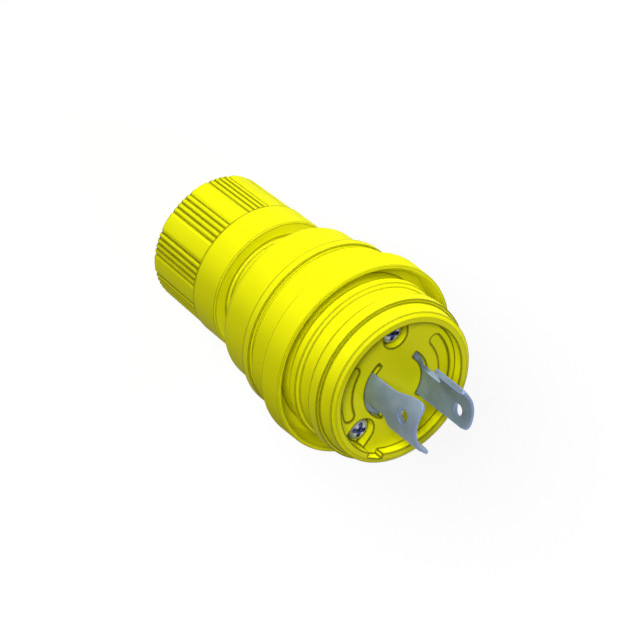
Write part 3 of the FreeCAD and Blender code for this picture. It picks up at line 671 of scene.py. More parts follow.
@dataclass(frozen=True)
class MouldedFinish:
    """Moulded plastic or rubber: a satin skin with a fine grain and faint flow marks.

    smoother and rougher are how far the roughness strays. flow and grain count spots in a metre,
    and painted_shade_tone is the share of the dark colour that is left as painted shade in grooves
    and along edges.
    """

    name: str
    dark: Colour
    light: Colour
    roughness: float = 0.55
    smoother: float = 0.05
    rougher: float = 0.06
    gloss: float = 0.07
    detail: float = 2.0
    flow: float = 55.0
    flow_upright: float = 0.4
    flow_depth: float = 0.05
    flow_strength: float = 0.25
    grain: float = 2600.0
    grain_depth: float = 0.012
    grain_strength: float = 0.6
    painted_shade_tone: float = 0.24
    edges: EdgeShade = EdgeShade()

    def build(self) -> bpy.types.Material:
        """Make the material.

        Returns:
            The material.
        """
        board = MaterialBoard(self.name)
        flow = board.mottle(self.flow, self.detail, self.flow_upright)
        grain = board.mottle(self.grain, self.detail)
        # Painted shade: the colour darkens in grooves and along edges.
        shaded = tuple(part * self.painted_shade_tone for part in self.dark)
        colour = board.blend(board.edges(self.edges), shaded,
                             board.tint(flow, self.dark, self.light))
        rough = board.spread(grain, self.roughness - self.smoother,
                             self.roughness + self.rougher)
        waves = board.relief(flow, self.flow_depth, self.flow_strength)
        normal = board.relief(grain, self.grain_depth, self.grain_strength, waves)
        return board.close(colour, rough, normal, Specular_IOR_Level=self.gloss)


@dataclass(frozen=True)
class SheetMetalFinish:
    """Sheet metal and screws: fine lines along the plug's axis and a soft cloudy sheen.

    smoother and rougher are how far the roughness strays. cloud and lines count spots in a metre,
    and edge is the colour painted in grooves and along edges: painted shade where it is darker
    than the metal, and a painted highlight where it is lighter.
    """

    name: str
    dark: Colour
    light: Colour
    edge: Colour
    roughness: float = 0.55
    smoother: float = 0.05
    rougher: float = 0.07
    metal: float = 0.4
    cloud: float = 160.0
    cloud_detail: float = 3.0
    lines: float = 2400.0
    line_detail: float = 2.0
    line_upright: float = 0.03
    line_depth: float = 0.006
    line_strength: float = 0.5
    edges: EdgeShade = EdgeShade(groove_reach=0.3, line_reach=0.45)

    def build(self) -> bpy.types.Material:
        """Make the material.

        Returns:
            The material.
        """
        board = MaterialBoard(self.name)
        cloud = board.mottle(self.cloud, self.cloud_detail)
        lines = board.mottle(self.lines, self.line_detail, self.line_upright)
        # Painted shade and highlight: grooves and edges take the edge colour, dark on the steel
        # screws and light blue on the blades.
        colour = board.blend(board.edges(self.edges), self.edge,
                             board.tint(cloud, self.dark, self.light))
        rough = board.spread(cloud, self.roughness - self.smoother,
                             self.roughness + self.rougher)
        normal = board.relief(lines, self.line_depth, self.line_strength)
        return board.close(colour, rough, normal, Metallic=self.metal)


FINISHES: dict[Slot, MouldedFinish | SheetMetalFinish] = {
    # Every moulded finish darkens its grooves and edges with painted shade.
    Slot.YELLOW_NYLON: MouldedFinish("yellow_nylon_skin",
                                     dark=(0.82, 0.815, 0.003), light=(0.87, 0.865, 0.005)),
    Slot.YELLOW_RUBBER: MouldedFinish("yellow_rubber_skin",
                                      dark=(0.82, 0.815, 0.003), light=(0.87, 0.865, 0.005),
                                      roughness=0.62, gloss=0.05, grain=1900.0,
                                      edges=EdgeShade(line_reach=0.7)),
    Slot.SLIP_NYLON: MouldedFinish("natural_nylon",
                                   dark=(0.74, 0.73, 0.68), light=(0.82, 0.81, 0.77)),
    Slot.BLACK_RUBBER: MouldedFinish("black_rubber_skin",
                                     dark=(0.018, 0.018, 0.018), light=(0.035, 0.035, 0.034),
                                     roughness=0.62),
    Slot.DARK_INSULATOR: MouldedFinish("dark_insulator_skin",
                                       dark=(0.03, 0.03, 0.032), light=(0.05, 0.05, 0.052)),
    # The blades' light blue edge colour is a painted highlight along their edges and round their
    # holes.
    Slot.BLADE_METAL: SheetMetalFinish("nickel_plated_blade",
                                       dark=(0.20, 0.265, 0.335), light=(0.26, 0.34, 0.42),
                                       edge=(0.24, 0.33, 0.74)),
    # The steel's dark navy edge colour is painted shade in the cross recesses and along the edges.
    Slot.SCREW_STEEL: SheetMetalFinish("zinc_plated_steel",
                                       dark=(0.30, 0.34, 0.46), light=(0.66, 0.70, 0.84),
                                       edge=(0.02, 0.03, 0.18), roughness=0.3,
                                       edges=EdgeShade(groove_reach=0.9, line_reach=0.8)),
    # The brass's lighter edge colour is a painted highlight along its edges.
    Slot.SCREW_BRASS: SheetMetalFinish("plain_brass",
                                       dark=(0.62, 0.44, 0.18), light=(0.76, 0.57, 0.27),
                                       edge=(0.80, 0.64, 0.34), roughness=0.3, metal=0.9),
}


def dress(piece: bpy.types.Object, material: bpy.types.Material) -> None:
    """Give a piece one material all over.

    Args:
        piece: The piece.
        material: Its material.
    """
    if not piece.material_slots:
        piece.data.materials.append(material)
    for holder in piece.material_slots:
        holder.material = material


def hand_over(piece: bpy.types.Object, node: str, body: Body,
              material: bpy.types.Material) -> None:
    """Finish a piece that stands for a node of the frame.

    Args:
        piece: The finished mesh.
        node: The node that it stands for.
        body: The body that carries it.
        material: Its material.
    """
    shade(piece)
    dress(piece, material)
    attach(piece, body.value)
    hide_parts(node)
    log.info("%s: %d faces on %s", piece.name, len(piece.data.polygons), body.value)


@dataclass(frozen=True)
class Heights:
    """Levels along the plug's axis that several pieces share, read from the frame.

    neck is the neck's mouth, collar the nut's front edge, shoulder the body's rear, flange the
    flange's front, and tang the blades' rear end. The others are the levels of what they name.
    """

    neck: float
    collar: float
    shoulder: float
    flange: float
    skirt_lip: float
    ledge: float
    carrier_rear: float
    face: float
    lip: float
    tip: float
    tang: float

    @classmethod
    def read(cls) -> "Heights":
        """Read the levels from the frame's boxes.

        Returns:
            The levels in millimetres.
        """
        def low(node: str) -> float:
            """A node's lower end."""
            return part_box(node)[0].z / MM

        def high(node: str) -> float:
            """A node's upper end."""
            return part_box(node)[1].z / MM

        flange = low("seal_skirt")
        return cls(
            neck=low("housing"),
            collar=high("cord_nut"),
            shoulder=flange - PLAN.body_len - PLAN.flange_len,
            flange=flange,
            skirt_lip=high("seal_skirt"),
            ledge=low("carrier_gasket"),
            carrier_rear=high("carrier_gasket"),
            face=high("blade_carrier"),
            lip=high("housing"),
            tip=high("wide_blade"),
            tang=low("wide_blade"),
        )


@dataclass(frozen=True)
class CordNut:
    """The ribbed cord nut with its smooth collar."""

    heights: Heights
    barrel_len: float = 20.0
    rear_radius: float = 19.3
    front_radius: float = 20.0
    collar_rear_radius: float = 20.3
    collar_front_radius: float = 20.5
    hole_round: float = 0.4
    rear_round: float = 0.6
    collar_rear_round: float = 0.12
    collar_front_round: float = 0.5
    mouth_round: float = 0.4
    floor_round: float = 0.2
    seat_radius: float = 13.45
    thread_radius: float = 16.4
    thread_start: float = 12.1
    groups: int = 9
    ribs: int = 4
    pitch: float = 5.0
    valley_depth: float = 0.55
    outer_flank: float = 3.0
    first_valley: float = 128.7
    depth_digits: int = 3
    segments: int = 720

    def rings(self) -> list[Ring]:
        """The nut's outline.

        Returns:
            Its rings, from the cord hole outwards and back.
        """
        top = self.heights.collar
        return [
            Ring(PLAN.cord_hole, 0.0, self.hole_round),
            Ring(self.rear_radius, 0.0, self.rear_round),
            Ring(self.front_radius, self.barrel_len),
            Ring(self.collar_rear_radius, self.barrel_len, self.collar_rear_round),
            Ring(self.collar_front_radius, top, self.collar_front_round),
            Ring(self.thread_radius, top, self.mouth_round),
            Ring(self.thread_radius, self.thread_start),
            Ring(self.seat_radius, self.thread_start),
            Ring(self.seat_radius, PLAN.nut_wall),
            Ring(PLAN.cord_hole, PLAN.nut_wall, self.floor_round),
        ]

    def depth(self, angle: float) -> float:
        """How deep the barrel's surface lies at an angle.

        Each group is a row of round ribs with a sharp valley on either side of each. Beyond the
        first and the last valley a flank runs out to the smooth land.

        Args:
            angle: The angle round the plug's axis.

        Returns:
            The depth below the smooth lands, in millimetres.
        """
        spacing = FULL_TURN / self.groups
        turned = (angle - self.first_valley + self.outer_flank) % spacing - self.outer_flank
        last = self.pitch * self.ribs
        if turned < 0:
            return self.valley_depth * (1 + turned / self.outer_flank)
        if turned <= last:
            half = self.pitch / 2
            across = (turned % self.pitch - half) / half
            return self.valley_depth * across * across
        if turned < last + self.outer_flank:
            return self.valley_depth * (1 - (turned - last) / self.outer_flank)
        return 0.0

    def press_valleys(self, piece: bpy.types.Object) -> None:
        """Press the valleys between the ribs into the barrel, all of one depth at a time.

        Args:
            piece: The turned nut, in edit mode.
        """
        step = FULL_TURN / self.segments
        levels: dict[float, set[int]] = {}
        for index in range(self.segments):
            level = round(self.depth(index * step), self.depth_digits)
            if level:
                levels.setdefault(level, set()).add(index)
        inside = self.rear_radius - 2 * self.valley_depth
        for level, indices in levels.items():
            def on_valley(place: Vector, indices: set[int] = indices) -> bool:
                """Whether a place lies on the barrel, on a line of this level.

                Args:
                    place: The place in millimetres.
                    indices: The facet lines of this level.

                Returns:
                    Whether it does.
                """
                if place.z > self.barrel_len + NEAR:
                    return False
                radius = math.hypot(place.x, place.y)
                if not inside < radius < self.front_radius + NEAR:
                    return False
                angle = math.degrees(math.atan2(place.y, place.x)) % FULL_TURN
                return round(angle / step) % self.segments in indices

            select_vertices(piece, on_valley)
            shrink = 1 - level / self.front_radius
            bpy.ops.transform.resize(value=(shrink, shrink, 1), center_override=(0, 0, 0))

    def build(self, material: bpy.types.Material) -> None:
        """Build and dress the nut.

        Args:
            material: The yellow nylon.
        """
        nut = turn("cord_nut_shell", self.rings(), segments=self.segments)
        with editing(nut):
            self.press_valleys(nut)
        hand_over(nut, "cord_nut", Body.NUT, material)


@dataclass(frozen=True)
class CordSeal:
    """The slip ring and the rubber bushing inside the nut."""

    heights: Heights
    ring_outer: float = 13.15
    ring_high: float = 5.5
    ring_round: float = 0.2
    flange: float = 12.85
    nose: float = 10.655
    bore: float = 6.5
    lip: float = 0.8
    nose_end: float = 21.0
    bushing_round: float = 0.3

    def build(self, nylon: bpy.types.Material, rubber: bpy.types.Material) -> None:
        """Build and dress both pieces.

        Args:
            nylon: The natural nylon of the ring.
            rubber: The black rubber of the bushing.
        """
        ring = turn("thrust_washer", [
            Ring(PLAN.cord_hole, PLAN.nut_wall, self.ring_round),
            Ring(self.ring_outer, PLAN.nut_wall, self.ring_round),
            Ring(self.ring_outer, self.ring_high, self.ring_round),
            Ring(PLAN.cord_hole, self.ring_high, self.ring_round),
        ])
        hand_over(ring, "slip_ring", Body.RING, nylon)
        bushing = turn("bushing", [
            Ring(self.bore + self.lip, self.ring_high, self.bushing_round),
            Ring(self.flange, self.ring_high, self.bushing_round),
            Ring(self.flange, self.heights.neck),
            Ring(self.nose, self.nose_end, self.bushing_round),
            Ring(self.bore + self.lip, self.nose_end, self.bushing_round),
            Ring(self.bore, self.nose_end - self.lip, self.bushing_round),
            Ring(self.bore, self.ring_high + self.lip, self.bushing_round),
        ])
        hand_over(bushing, "cord_bushing", Body.PLUG, rubber)


@dataclass(frozen=True)
class Housing:
    """The housing: threaded neck, body, flange and the nose with its two ribs."""

    heights: Heights
    neck_radius: float = 16.0
    neck_bevel: float = 0.7
    neck_bore: float = 10.5
    seat_len: float = 9.5
    seat_mouth: float = 12.95
    thread_depth: float = 0.8
    thread_spread: float = 1.25
    thread_pitch: float = 2.5
    thread_turns: int = 8
    body_rear_radius: float = 23.75
    body_front_radius: float = 23.95
    mouth_round: float = 0.3
    crest_round: float = 0.12
    root_round: float = 0.15
    neck_root_round: float = 0.25
    shoulder_round: float = 3.0
    body_front_round: float = 0.15
    flange_rear_round: float = 0.35
    flange_front_round: float = 0.2
    rib_round: float = 0.12
    ledge_round: float = 0.2
    floor_round: float = 0.4
    tube_radius: float = 23.55
    rear_rib_radius: float = 24.75
    rear_rib_back: float = 18.4
    rear_rib_len: float = 2.6
    rear_rib_slope: float = 0.8
    front_rib_radius: float = 24.9
    front_rib_back: float = 9.35
    front_rib_len: float = 3.85
    back_slope: float = 1.2
    rim_rear_radius: float = 23.75
    rim_front_radius: float = 23.45
    lip_bevel: float = 0.8
    lip_radius: float = 22.15
    bore_radius: float = 20.27
    chamber_radius: float = 18.9
    floor: float = 4.4
    keyway_radius: float = 21.7
    keyway_width: float = 14.0
    boss_radius: float = 3.6
    insert_radius: float = 2.4
    insert_hole: float = 10.5

    def neck(self) -> list[Ring]:
        """The neck with its thread.

        Returns:
            The rings from the neck's mouth to the body's shoulder.
        """
        mouth = self.heights.neck
        crest = self.neck_radius
        half = self.thread_depth * self.thread_spread
        rings = [
            Ring(self.seat_mouth, mouth, self.mouth_round),
            Ring(crest - self.neck_bevel, mouth),
            Ring(crest, mouth + self.neck_bevel),
        ]
        for index in range(self.thread_turns):
            middle = mouth + self.neck_bevel + self.thread_pitch * (index + 1)
            rings += [
                Ring(crest, middle - half, self.crest_round),
                Ring(crest - self.thread_depth, middle, self.root_round),
                Ring(crest, middle + half, self.crest_round),
            ]
        rings.append(Ring(crest, self.heights.shoulder, self.neck_root_round))
        return rings

    def nose(self) -> list[Ring]:
        """The nose with its two ribs and its lip.

        Returns:
            The rings from the sleeve's seat to the bore.
        """
        tube = self.tube_radius
        lip = self.heights.lip
        rear = lip - self.rear_rib_back
        rear_end = rear + self.rear_rib_len
        front = lip - self.front_rib_back
        front_end = front + self.front_rib_len
        return [
            Ring(tube, self.heights.flange),
            Ring(tube, rear - self.back_slope, self.rib_round),
            Ring(self.rear_rib_radius, rear, self.rib_round),
            Ring(self.rear_rib_radius, rear_end, self.rib_round),
            Ring(tube, rear_end + self.rear_rib_slope, self.rib_round),
            Ring(tube, front - self.back_slope, self.rib_round),
            Ring(self.front_rib_radius, front, self.rib_round),
            Ring(self.front_rib_radius, front_end, self.rib_round),
            Ring(self.rim_rear_radius, front_end, self.rib_round),
            Ring(self.rim_front_radius, lip - self.lip_bevel, self.rib_round),
            Ring(self.lip_radius, lip, self.rib_round),
            Ring(self.bore_radius, lip, self.rib_round),
        ]

    def rings(self) -> list[Ring]:
        """The housing's whole outline.

        Returns:
            Its rings, up the outside and down the inside.
        """
        levels = self.heights
        flange_rear = levels.shoulder + PLAN.body_len
        chamber = levels.shoulder + self.floor
        return [
            *self.neck(),
            Ring(self.body_rear_radius, levels.shoulder, self.shoulder_round),
            Ring(self.body_front_radius, flange_rear, self.body_front_round),
            Ring(PLAN.flange_radius, flange_rear, self.flange_rear_round),
            Ring(PLAN.flange_radius, levels.flange, self.flange_front_round),
            *self.nose(),
            Ring(self.bore_radius, levels.ledge),
            Ring(self.chamber_radius, levels.ledge, self.ledge_round),
            Ring(self.chamber_radius, chamber),
            Ring(self.neck_bore, chamber, self.floor_round),
            Ring(self.neck_bore, levels.neck + self.seat_len),
        ]

    def build(self, material: bpy.types.Material) -> None:
        """Build and dress the housing.

        Args:
            material: The yellow nylon.
        """
        levels = self.heights
        shell = turn("housing_shell", self.rings())
        chamber = levels.shoulder + self.floor
        for index, angle in enumerate((PLAN.upper_screw, PLAN.lower_screw)):
            boss = rod(f"boss_{index}", self.boss_radius, chamber - MARGIN, levels.ledge,
                       PLAN.screw_circle, angle)
            hole = rod(f"boss_hole_{index}", self.insert_radius,
                       levels.ledge - self.insert_hole, levels.ledge + MARGIN,
                       PLAN.screw_circle, angle)
            unite(shell, boss)
            cut(shell, hole)
        half = self.keyway_width / 2
        keyway = ring_sector("keyway", Sector(self.chamber_radius, self.keyway_radius,
                                              levels.ledge, levels.lip + MARGIN,
                                              PLAN.keyway - half, PLAN.keyway + half))
        cut(shell, keyway)
        hand_over(shell, "housing", Body.PLUG, material)


@dataclass(frozen=True)
class SealSkirt:
    """The weather skirt on its sleeve."""

    heights: Heights
    tube_radius: float = 23.6
    parting_radius: float = 25.0
    parting_len: float = 1.5
    parting_round: float = 0.2
    sleeve_rear_round: float = 0.25
    sleeve_front_round: float = 0.2
    skirt_len: float = 7.95
    skirt_radius: float = 29.0
    skirt_rear_round: float = 0.45
    skirt_front_round: float = 0.35
    web: float = 2.2
    lip_radius: float = 27.7
    lip_round: float = 0.25
    root_radius: float = 26.55
    root_round: float = 0.5
    floor_round: float = 0.15

    def build(self, material: bpy.types.Material) -> None:
        """Build and dress the skirt.

        Args:
            material: The yellow rubber.
        """
        rear = self.heights.flange
        front = self.heights.skirt_lip
        step = front - self.skirt_len
        floor = step + self.web
        skirt = turn("skirt", [
            Ring(self.tube_radius, rear),
            Ring(self.parting_radius, rear),
            Ring(self.parting_radius, rear + self.parting_len, self.parting_round),
            Ring(PLAN.flange_radius, rear + self.parting_len, self.sleeve_rear_round),
            Ring(PLAN.flange_radius, step, self.sleeve_front_round),
            Ring(self.skirt_radius, step, self.skirt_rear_round),
            Ring(self.skirt_radius, front, self.skirt_front_round),
            Ring(self.lip_radius, front, self.lip_round),
            Ring(self.root_radius, floor, self.root_round),
            Ring(self.tube_radius, floor, self.floor_round),
        ])
        hand_over(skirt, "seal_skirt", Body.PLUG, material)


@dataclass(frozen=True)
class BladeCarrier:
    """The recessed front face with its slots, screw pockets and two bare pads."""

    heights: Heights
    radius: float = 20.17
    key_radius: float = 21.6
    key_width: float = 13.4
    slot_inner: float = 8.75
    slot_outer: float = 10.6
    pocket_radius: float = 4.05
    pocket_depth: float = 3.3
    pocket_sides: int = 96
    screw_hole: float = 1.75
    retainer_circle: float = 14.0
    retainer_angles: Span = (50.0, 310.0)
    retainer_hole: float = 1.45
    retainer_bite: float = 8.0
    pad_inner: float = 14.6
    pad_outer: float = 18.15
    pad_depth: float = 0.3
    pads: tuple[Span, Span] = ((163.5, 213.5), (1.0, 51.0))
    edge: float = 0.14

    def cut_pockets(self, disc: bpy.types.Object) -> None:
        """Sink the pockets of the assembly screws, open to the rim, and the screws' holes.

        Args:
            disc: The carrier.
        """
        rear = self.heights.carrier_rear
        face = self.heights.face
        floor = face - self.pocket_depth
        reach = self.radius - PLAN.screw_circle + MARGIN
        tall = self.pocket_depth + MARGIN
        centre = Vector((PLAN.screw_circle + reach / 2, 0, floor + tall / 2))
        size = Vector((reach, 2 * self.pocket_radius, tall))
        for index, angle in enumerate((PLAN.upper_screw, PLAN.lower_screw)):
            cut(disc,
                rod(f"pocket_{index}", self.pocket_radius, floor, face + MARGIN,
                    PLAN.screw_circle, angle, self.pocket_sides),
                block(f"mouth_{index}", size, centre, angle),
                rod(f"screw_hole_{index}", self.screw_hole, rear - MARGIN, face,
                    PLAN.screw_circle, angle))
        for index, angle in enumerate(self.retainer_angles):
            cut(disc, rod(f"retainer_hole_{index}", self.retainer_hole, rear - MARGIN,
                          rear + self.retainer_bite, self.retainer_circle, angle))

    def cut_pads(self, disc: bpy.types.Object) -> None:
        """Sink the two bare pads with their round ends.

        Args:
            disc: The carrier.
        """
        floor = self.heights.face - self.pad_depth
        top = self.heights.face + MARGIN
        middle = (self.pad_inner + self.pad_outer) / 2
        end_radius = (self.pad_outer - self.pad_inner) / 2
        for index, (start, end) in enumerate(self.pads):
            pad = ring_sector(f"pad_{index}", Sector(self.pad_inner, self.pad_outer, floor, top,
                                                     start, end))
            unite(pad, rod(f"pad_start_{index}", end_radius, floor, top, middle, start),
                  rod(f"pad_end_{index}", end_radius, floor, top, middle, end))
            cut(disc, pad)

    def build(self, material: bpy.types.Material) -> None:
        """Build and dress the carrier.

        Args:
            material: The yellow nylon.
        """
        rear = self.heights.carrier_rear
        face = self.heights.face
        disc = turn("carrier_disc", [Ring(self.radius, rear), Ring(self.radius, face)],
                    Ends.CAPPED)
        half = self.key_width / 2
        key = ring_sector("key", Sector(self.radius - MARGIN, self.key_radius, rear, face,
                                        PLAN.keyway - half, PLAN.keyway + half))
        unite(disc, key)
        for index, (start, end) in enumerate((PLAN.wide_slot, PLAN.narrow_slot)):
            slot = Sector(self.slot_inner, self.slot_outer, rear - MARGIN, face + MARGIN,
                          start, end)
            cut(disc, ring_sector(f"slot_{index}", slot))
        self.cut_pockets(disc)
        self.cut_pads(disc)
        ease_edges(disc, self.edge)
        hand_over(disc, "blade_carrier", Body.PLUG, material)


@dataclass(frozen=True)
class LockingBlade:
    """A curved locking blade, cut flat as a blank and then bent round the plug's axis.

    From the rear it has a tang with the terminal's hole, a shoulder with a wing on each side, a
    base that fills the carrier's slot, a narrow neck, and a head that reaches out over the neck
    as a lug. neck, head and slot are the angles between which each of these lies. flare is
    where the side across from the lug starts and stops leaning out, above the face.
    """

    heights: Heights
    name: str
    node: str
    neck: Span
    head: Span
    slot: Span
    flare: Span | None = None
    inner_radius: float = 8.95
    thickness: float = 1.5
    slot_gap: float = 1.0
    base_sink: float = 1.3
    shoulder_len: float = 1.9
    shoulder_extra: float = 4.0
    tang_half: float = 26.0
    tang_round: float = 0.8
    wing_round: float = 0.4
    base_round: float = 0.3
    lug: float = 9.1
    lug_root_round: float = 1.2
    lug_round: float = 0.8
    lug_tip_round: float = 1.0
    flare_round: float = 3.0
    tip_round: float = 2.2
    hole_up: float = 17.3
    hole_radius: float = 1.95
    terminal_hole_up: float = 4.85
    terminal_hole_radius: float = 1.95
    hole_sides: int = 48
    tip_bevel_len: float = 2.0
    tip_bevel_depth: float = 0.35
    edge: float = 0.16
    slice_angle: float = 3.0

    @property
    def middle(self) -> float:
        """The neck's middle, as an angle."""
        return (self.neck[0] + self.neck[1]) / 2

    @property
    def bend_radius(self) -> float:
        """Radius of the sheet's middle."""
        return self.inner_radius + self.thickness / 2

    def across(self, angle: float) -> float:
        """Where an angle lies on the flat blank, in millimetres from the neck's middle."""
        return math.radians(angle - self.middle) * self.bend_radius

    def foot(self, tang: float, wing: float, base: float, neck: float) -> list[Corner]:
        """One side of the blank, from the tang's end to the foot of the neck.

        Args:
            tang: The tang's angle on that side.
            wing: The shoulder's angle.
            base: The base's angle.
            neck: The neck's angle.

        Returns:
            Its corners from the rear forwards.
        """
        rear = self.heights.carrier_rear
        shoulder = rear - self.shoulder_len
        base_top = self.heights.face - self.base_sink
        return [
            Corner(self.across(tang), self.heights.tang, self.tang_round),
            Corner(self.across(tang), shoulder),
            Corner(self.across(wing), shoulder, self.wing_round),
            Corner(self.across(wing), rear, self.wing_round),
            Corner(self.across(base), rear),
            Corner(self.across(base), base_top, self.base_round),
            Corner(self.across(neck), base_top),
        ]

    def corners(self) -> list[Corner]:
        """The flat blank's outline.

        Returns:
            Its corners, up the side with the lug and down the other.
        """
        face = self.heights.face
        tip = self.heights.tip
        low_neck, high_neck = (self.across(angle) for angle in self.neck)
        low_head, high_head = (self.across(angle) for angle in self.head)
        low_slot, high_slot = self.slot
        right = [
            *self.foot(self.middle + self.tang_half, high_slot + self.shoulder_extra,
                       high_slot - self.slot_gap, self.neck[1]),
            Corner(high_neck, face + self.lug, self.lug_root_round),
            Corner(high_head, face + self.lug, self.lug_round),
            Corner(high_head, tip, self.lug_tip_round),
        ]
        left = self.foot(self.middle - self.tang_half, low_slot - self.shoulder_extra,
                         low_slot + self.slot_gap, self.neck[0])
        if self.flare is not None:
            flare_start, flare_end = self.flare
            left += [Corner(low_neck, face + flare_start, self.flare_round),
                     Corner(low_head, face + flare_end, self.flare_round)]
        left.append(Corner(low_head, tip, self.tip_round))
        return [*right, *reversed(left)]

    def sides(self) -> Span:
        """The blank's two sides, in millimetres across from the neck's middle."""
        places = [corner.across for corner in self.corners()]
        return min(places), max(places)

    def blank(self) -> bpy.types.Object:
        """Draw the flat blank.

        Returns:
            One flat face with rounded corners, upright in the XZ plane.
        """
        deselect()
        bpy.ops.mesh.primitive_plane_add(size=MM)
        piece = bpy.context.object
        piece.name = self.name
        corners = self.corners()
        with editing(piece):
            bpy.ops.mesh.select_all(action="SELECT")
            bpy.ops.mesh.merge(type="CENTER")
            here = corners[0]
            bpy.ops.transform.translate(value=(here.across * MM, 0, here.up * MM))
            for corner in corners[1:]:
                move = ((corner.across - here.across) * MM, 0, (corner.up - here.up) * MM)
                bpy.ops.mesh.extrude_region_move(TRANSFORM_OT_translate={"value": move})
                here = corner
            bpy.ops.mesh.select_all(action="SELECT")
            bpy.ops.mesh.edge_face_add()
            for corner in corners:
                if not corner.soft:
                    continue

                def is_corner(place: Vector, corner: Corner = corner) -> bool:
                    """Whether a place is this corner."""
                    return math.hypot(place.x - corner.across, place.z - corner.up) < NEAR

                select_vertices(piece, is_corner)
                bpy.ops.mesh.bevel(offset=corner.soft * MM, segments=CORNER_FACETS,
                                   affect="VERTICES")
        return piece

    def thin_tip(self, piece: bpy.types.Object) -> None:
        """Plane both sides of the tip down to a thinner edge.

        Args:
            piece: The blank with its thickness.
        """
        slope = math.atan2(self.tip_bevel_depth, self.tip_bevel_len)
        for side in (1, -1):
            normal = (0, side * math.cos(slope), math.sin(slope))
            place = (0, side * self.thickness / 2 * MM,
                     (self.heights.tip - self.tip_bevel_len) * MM)
            with editing(piece):
                bpy.ops.mesh.select_all(action="SELECT")
                bpy.ops.mesh.bisect(plane_co=place, plane_no=normal, use_fill=True,
                                    clear_outer=True)

    def punch(self, piece: bpy.types.Object) -> None:
        """Punch the two round holes.

        Args:
            piece: The blank with its thickness.
        """
        holes = ((self.heights.face + self.hole_up, self.hole_radius),
                 (self.heights.tang + self.terminal_hole_up, self.terminal_hole_radius))
        for up, radius in holes:
            deselect()
            bpy.ops.mesh.primitive_cylinder_add(vertices=self.hole_sides, radius=radius * MM,
                                                depth=4 * self.thickness * MM,
                                                location=(0, 0, up * MM),
                                                rotation=(math.pi / 2, 0, 0))
            punch = bpy.context.object
            settle(punch)
            cut(piece, punch)

    def slice_sheet(self, piece: bpy.types.Object) -> None:
        """Cut the sheet's faces into narrow upright strips, so that they bend smoothly.

        Args:
            piece: The finished flat sheet.
        """
        left, right = self.sides()
        step = math.radians(self.slice_angle) * self.bend_radius
        with editing(piece):
            for index in range(math.ceil(left / step), math.floor(right / step) + 1):
                bpy.ops.mesh.select_all(action="SELECT")
                bpy.ops.mesh.bisect(plane_co=(index * step * MM, 0, 0), plane_no=(1, 0, 0))

    def bend_sheet(self, piece: bpy.types.Object) -> None:
        """Bend the sheet round the plug's axis and turn it to its place.

        Args:
            piece: The sliced flat sheet.
        """
        left, right = self.sides()
        apply(piece, "SIMPLE_DEFORM", deform_method="BEND", deform_axis="Z",
              angle=(right - left) / self.bend_radius)
        piece.location = (0, -self.bend_radius * MM, 0)
        settle(piece)
        piece.rotation_euler = (0, 0, math.radians(self.middle + 90))
        settle(piece)
        with editing(piece):
            bpy.ops.mesh.select_all(action="SELECT")
            bpy.ops.mesh.remove_doubles(threshold=TOUCH * MM)
            bpy.ops.mesh.normals_make_consistent(inside=False)

    def build(self, material: bpy.types.Material) -> None:
        """Build and dress the blade.

        Args:
            material: The plated metal.
        """
        piece = self.blank()
        apply(piece, "SOLIDIFY", thickness=self.thickness * MM, offset=0.0)
        self.thin_tip(piece)
        self.punch(piece)
        ease_edges(piece, self.edge)
        self.slice_sheet(piece)
        self.bend_sheet(piece)
        hand_over(piece, self.node, Body.PLUG, material)


@dataclass(frozen=True)
class AssemblyScrew:
    """A pan head screw with a cross recess, sunk below the face in its pocket."""

    heights: Heights
    name: str
    node: str
    angle: float
    sink: float = 1.1
    head_radius: float = 3.35
    side_len: float = 1.4
    dome_len: float = 0.8
    dome_radius: float = 1.9
    shank_radius: float = 1.5
    shank_len: float = 15.8
    end_round: float = 0.3
    seat_round: float = 0.15
    side_round: float = 0.45
    dome_round: float = 0.3
    arm: float = 2.0
    half_width: float = 0.42
    recess: float = 1.2
    edge: float = 0.06
    segments: int = 96

    def build(self, material: bpy.types.Material) -> None:
        """Build and dress the screw.

        Args:
            material: The plated steel.
        """
        top = self.heights.face - self.sink
        seat = top - self.dome_len - self.side_len
        screw = turn(self.name, [
            Ring(self.shank_radius, seat - self.shank_len, self.end_round),
            Ring(self.shank_radius, seat),
            Ring(self.head_radius, seat, self.seat_round),
            Ring(self.head_radius, seat + self.side_len, self.side_round),
            Ring(self.dome_radius, top, self.dome_round),
        ], Ends.CAPPED, self.segments)
        for index, (along, wide) in enumerate(((self.arm, self.half_width),
                                               (self.half_width, self.arm))):
            size = Vector((2 * along, 2 * wide, 2 * self.recess))
            cut(screw, block(f"{self.name}_recess_{index}", size, Vector((0, 0, top))))
        ease_edges(screw, self.edge)
        turned = math.radians(self.angle)
        screw.location = (PLAN.screw_circle * math.cos(turned) * MM,
                          PLAN.screw_circle * math.sin(turned) * MM, 0)
        settle(screw)
        hand_over(screw, self.node, Body.PLUG, material)


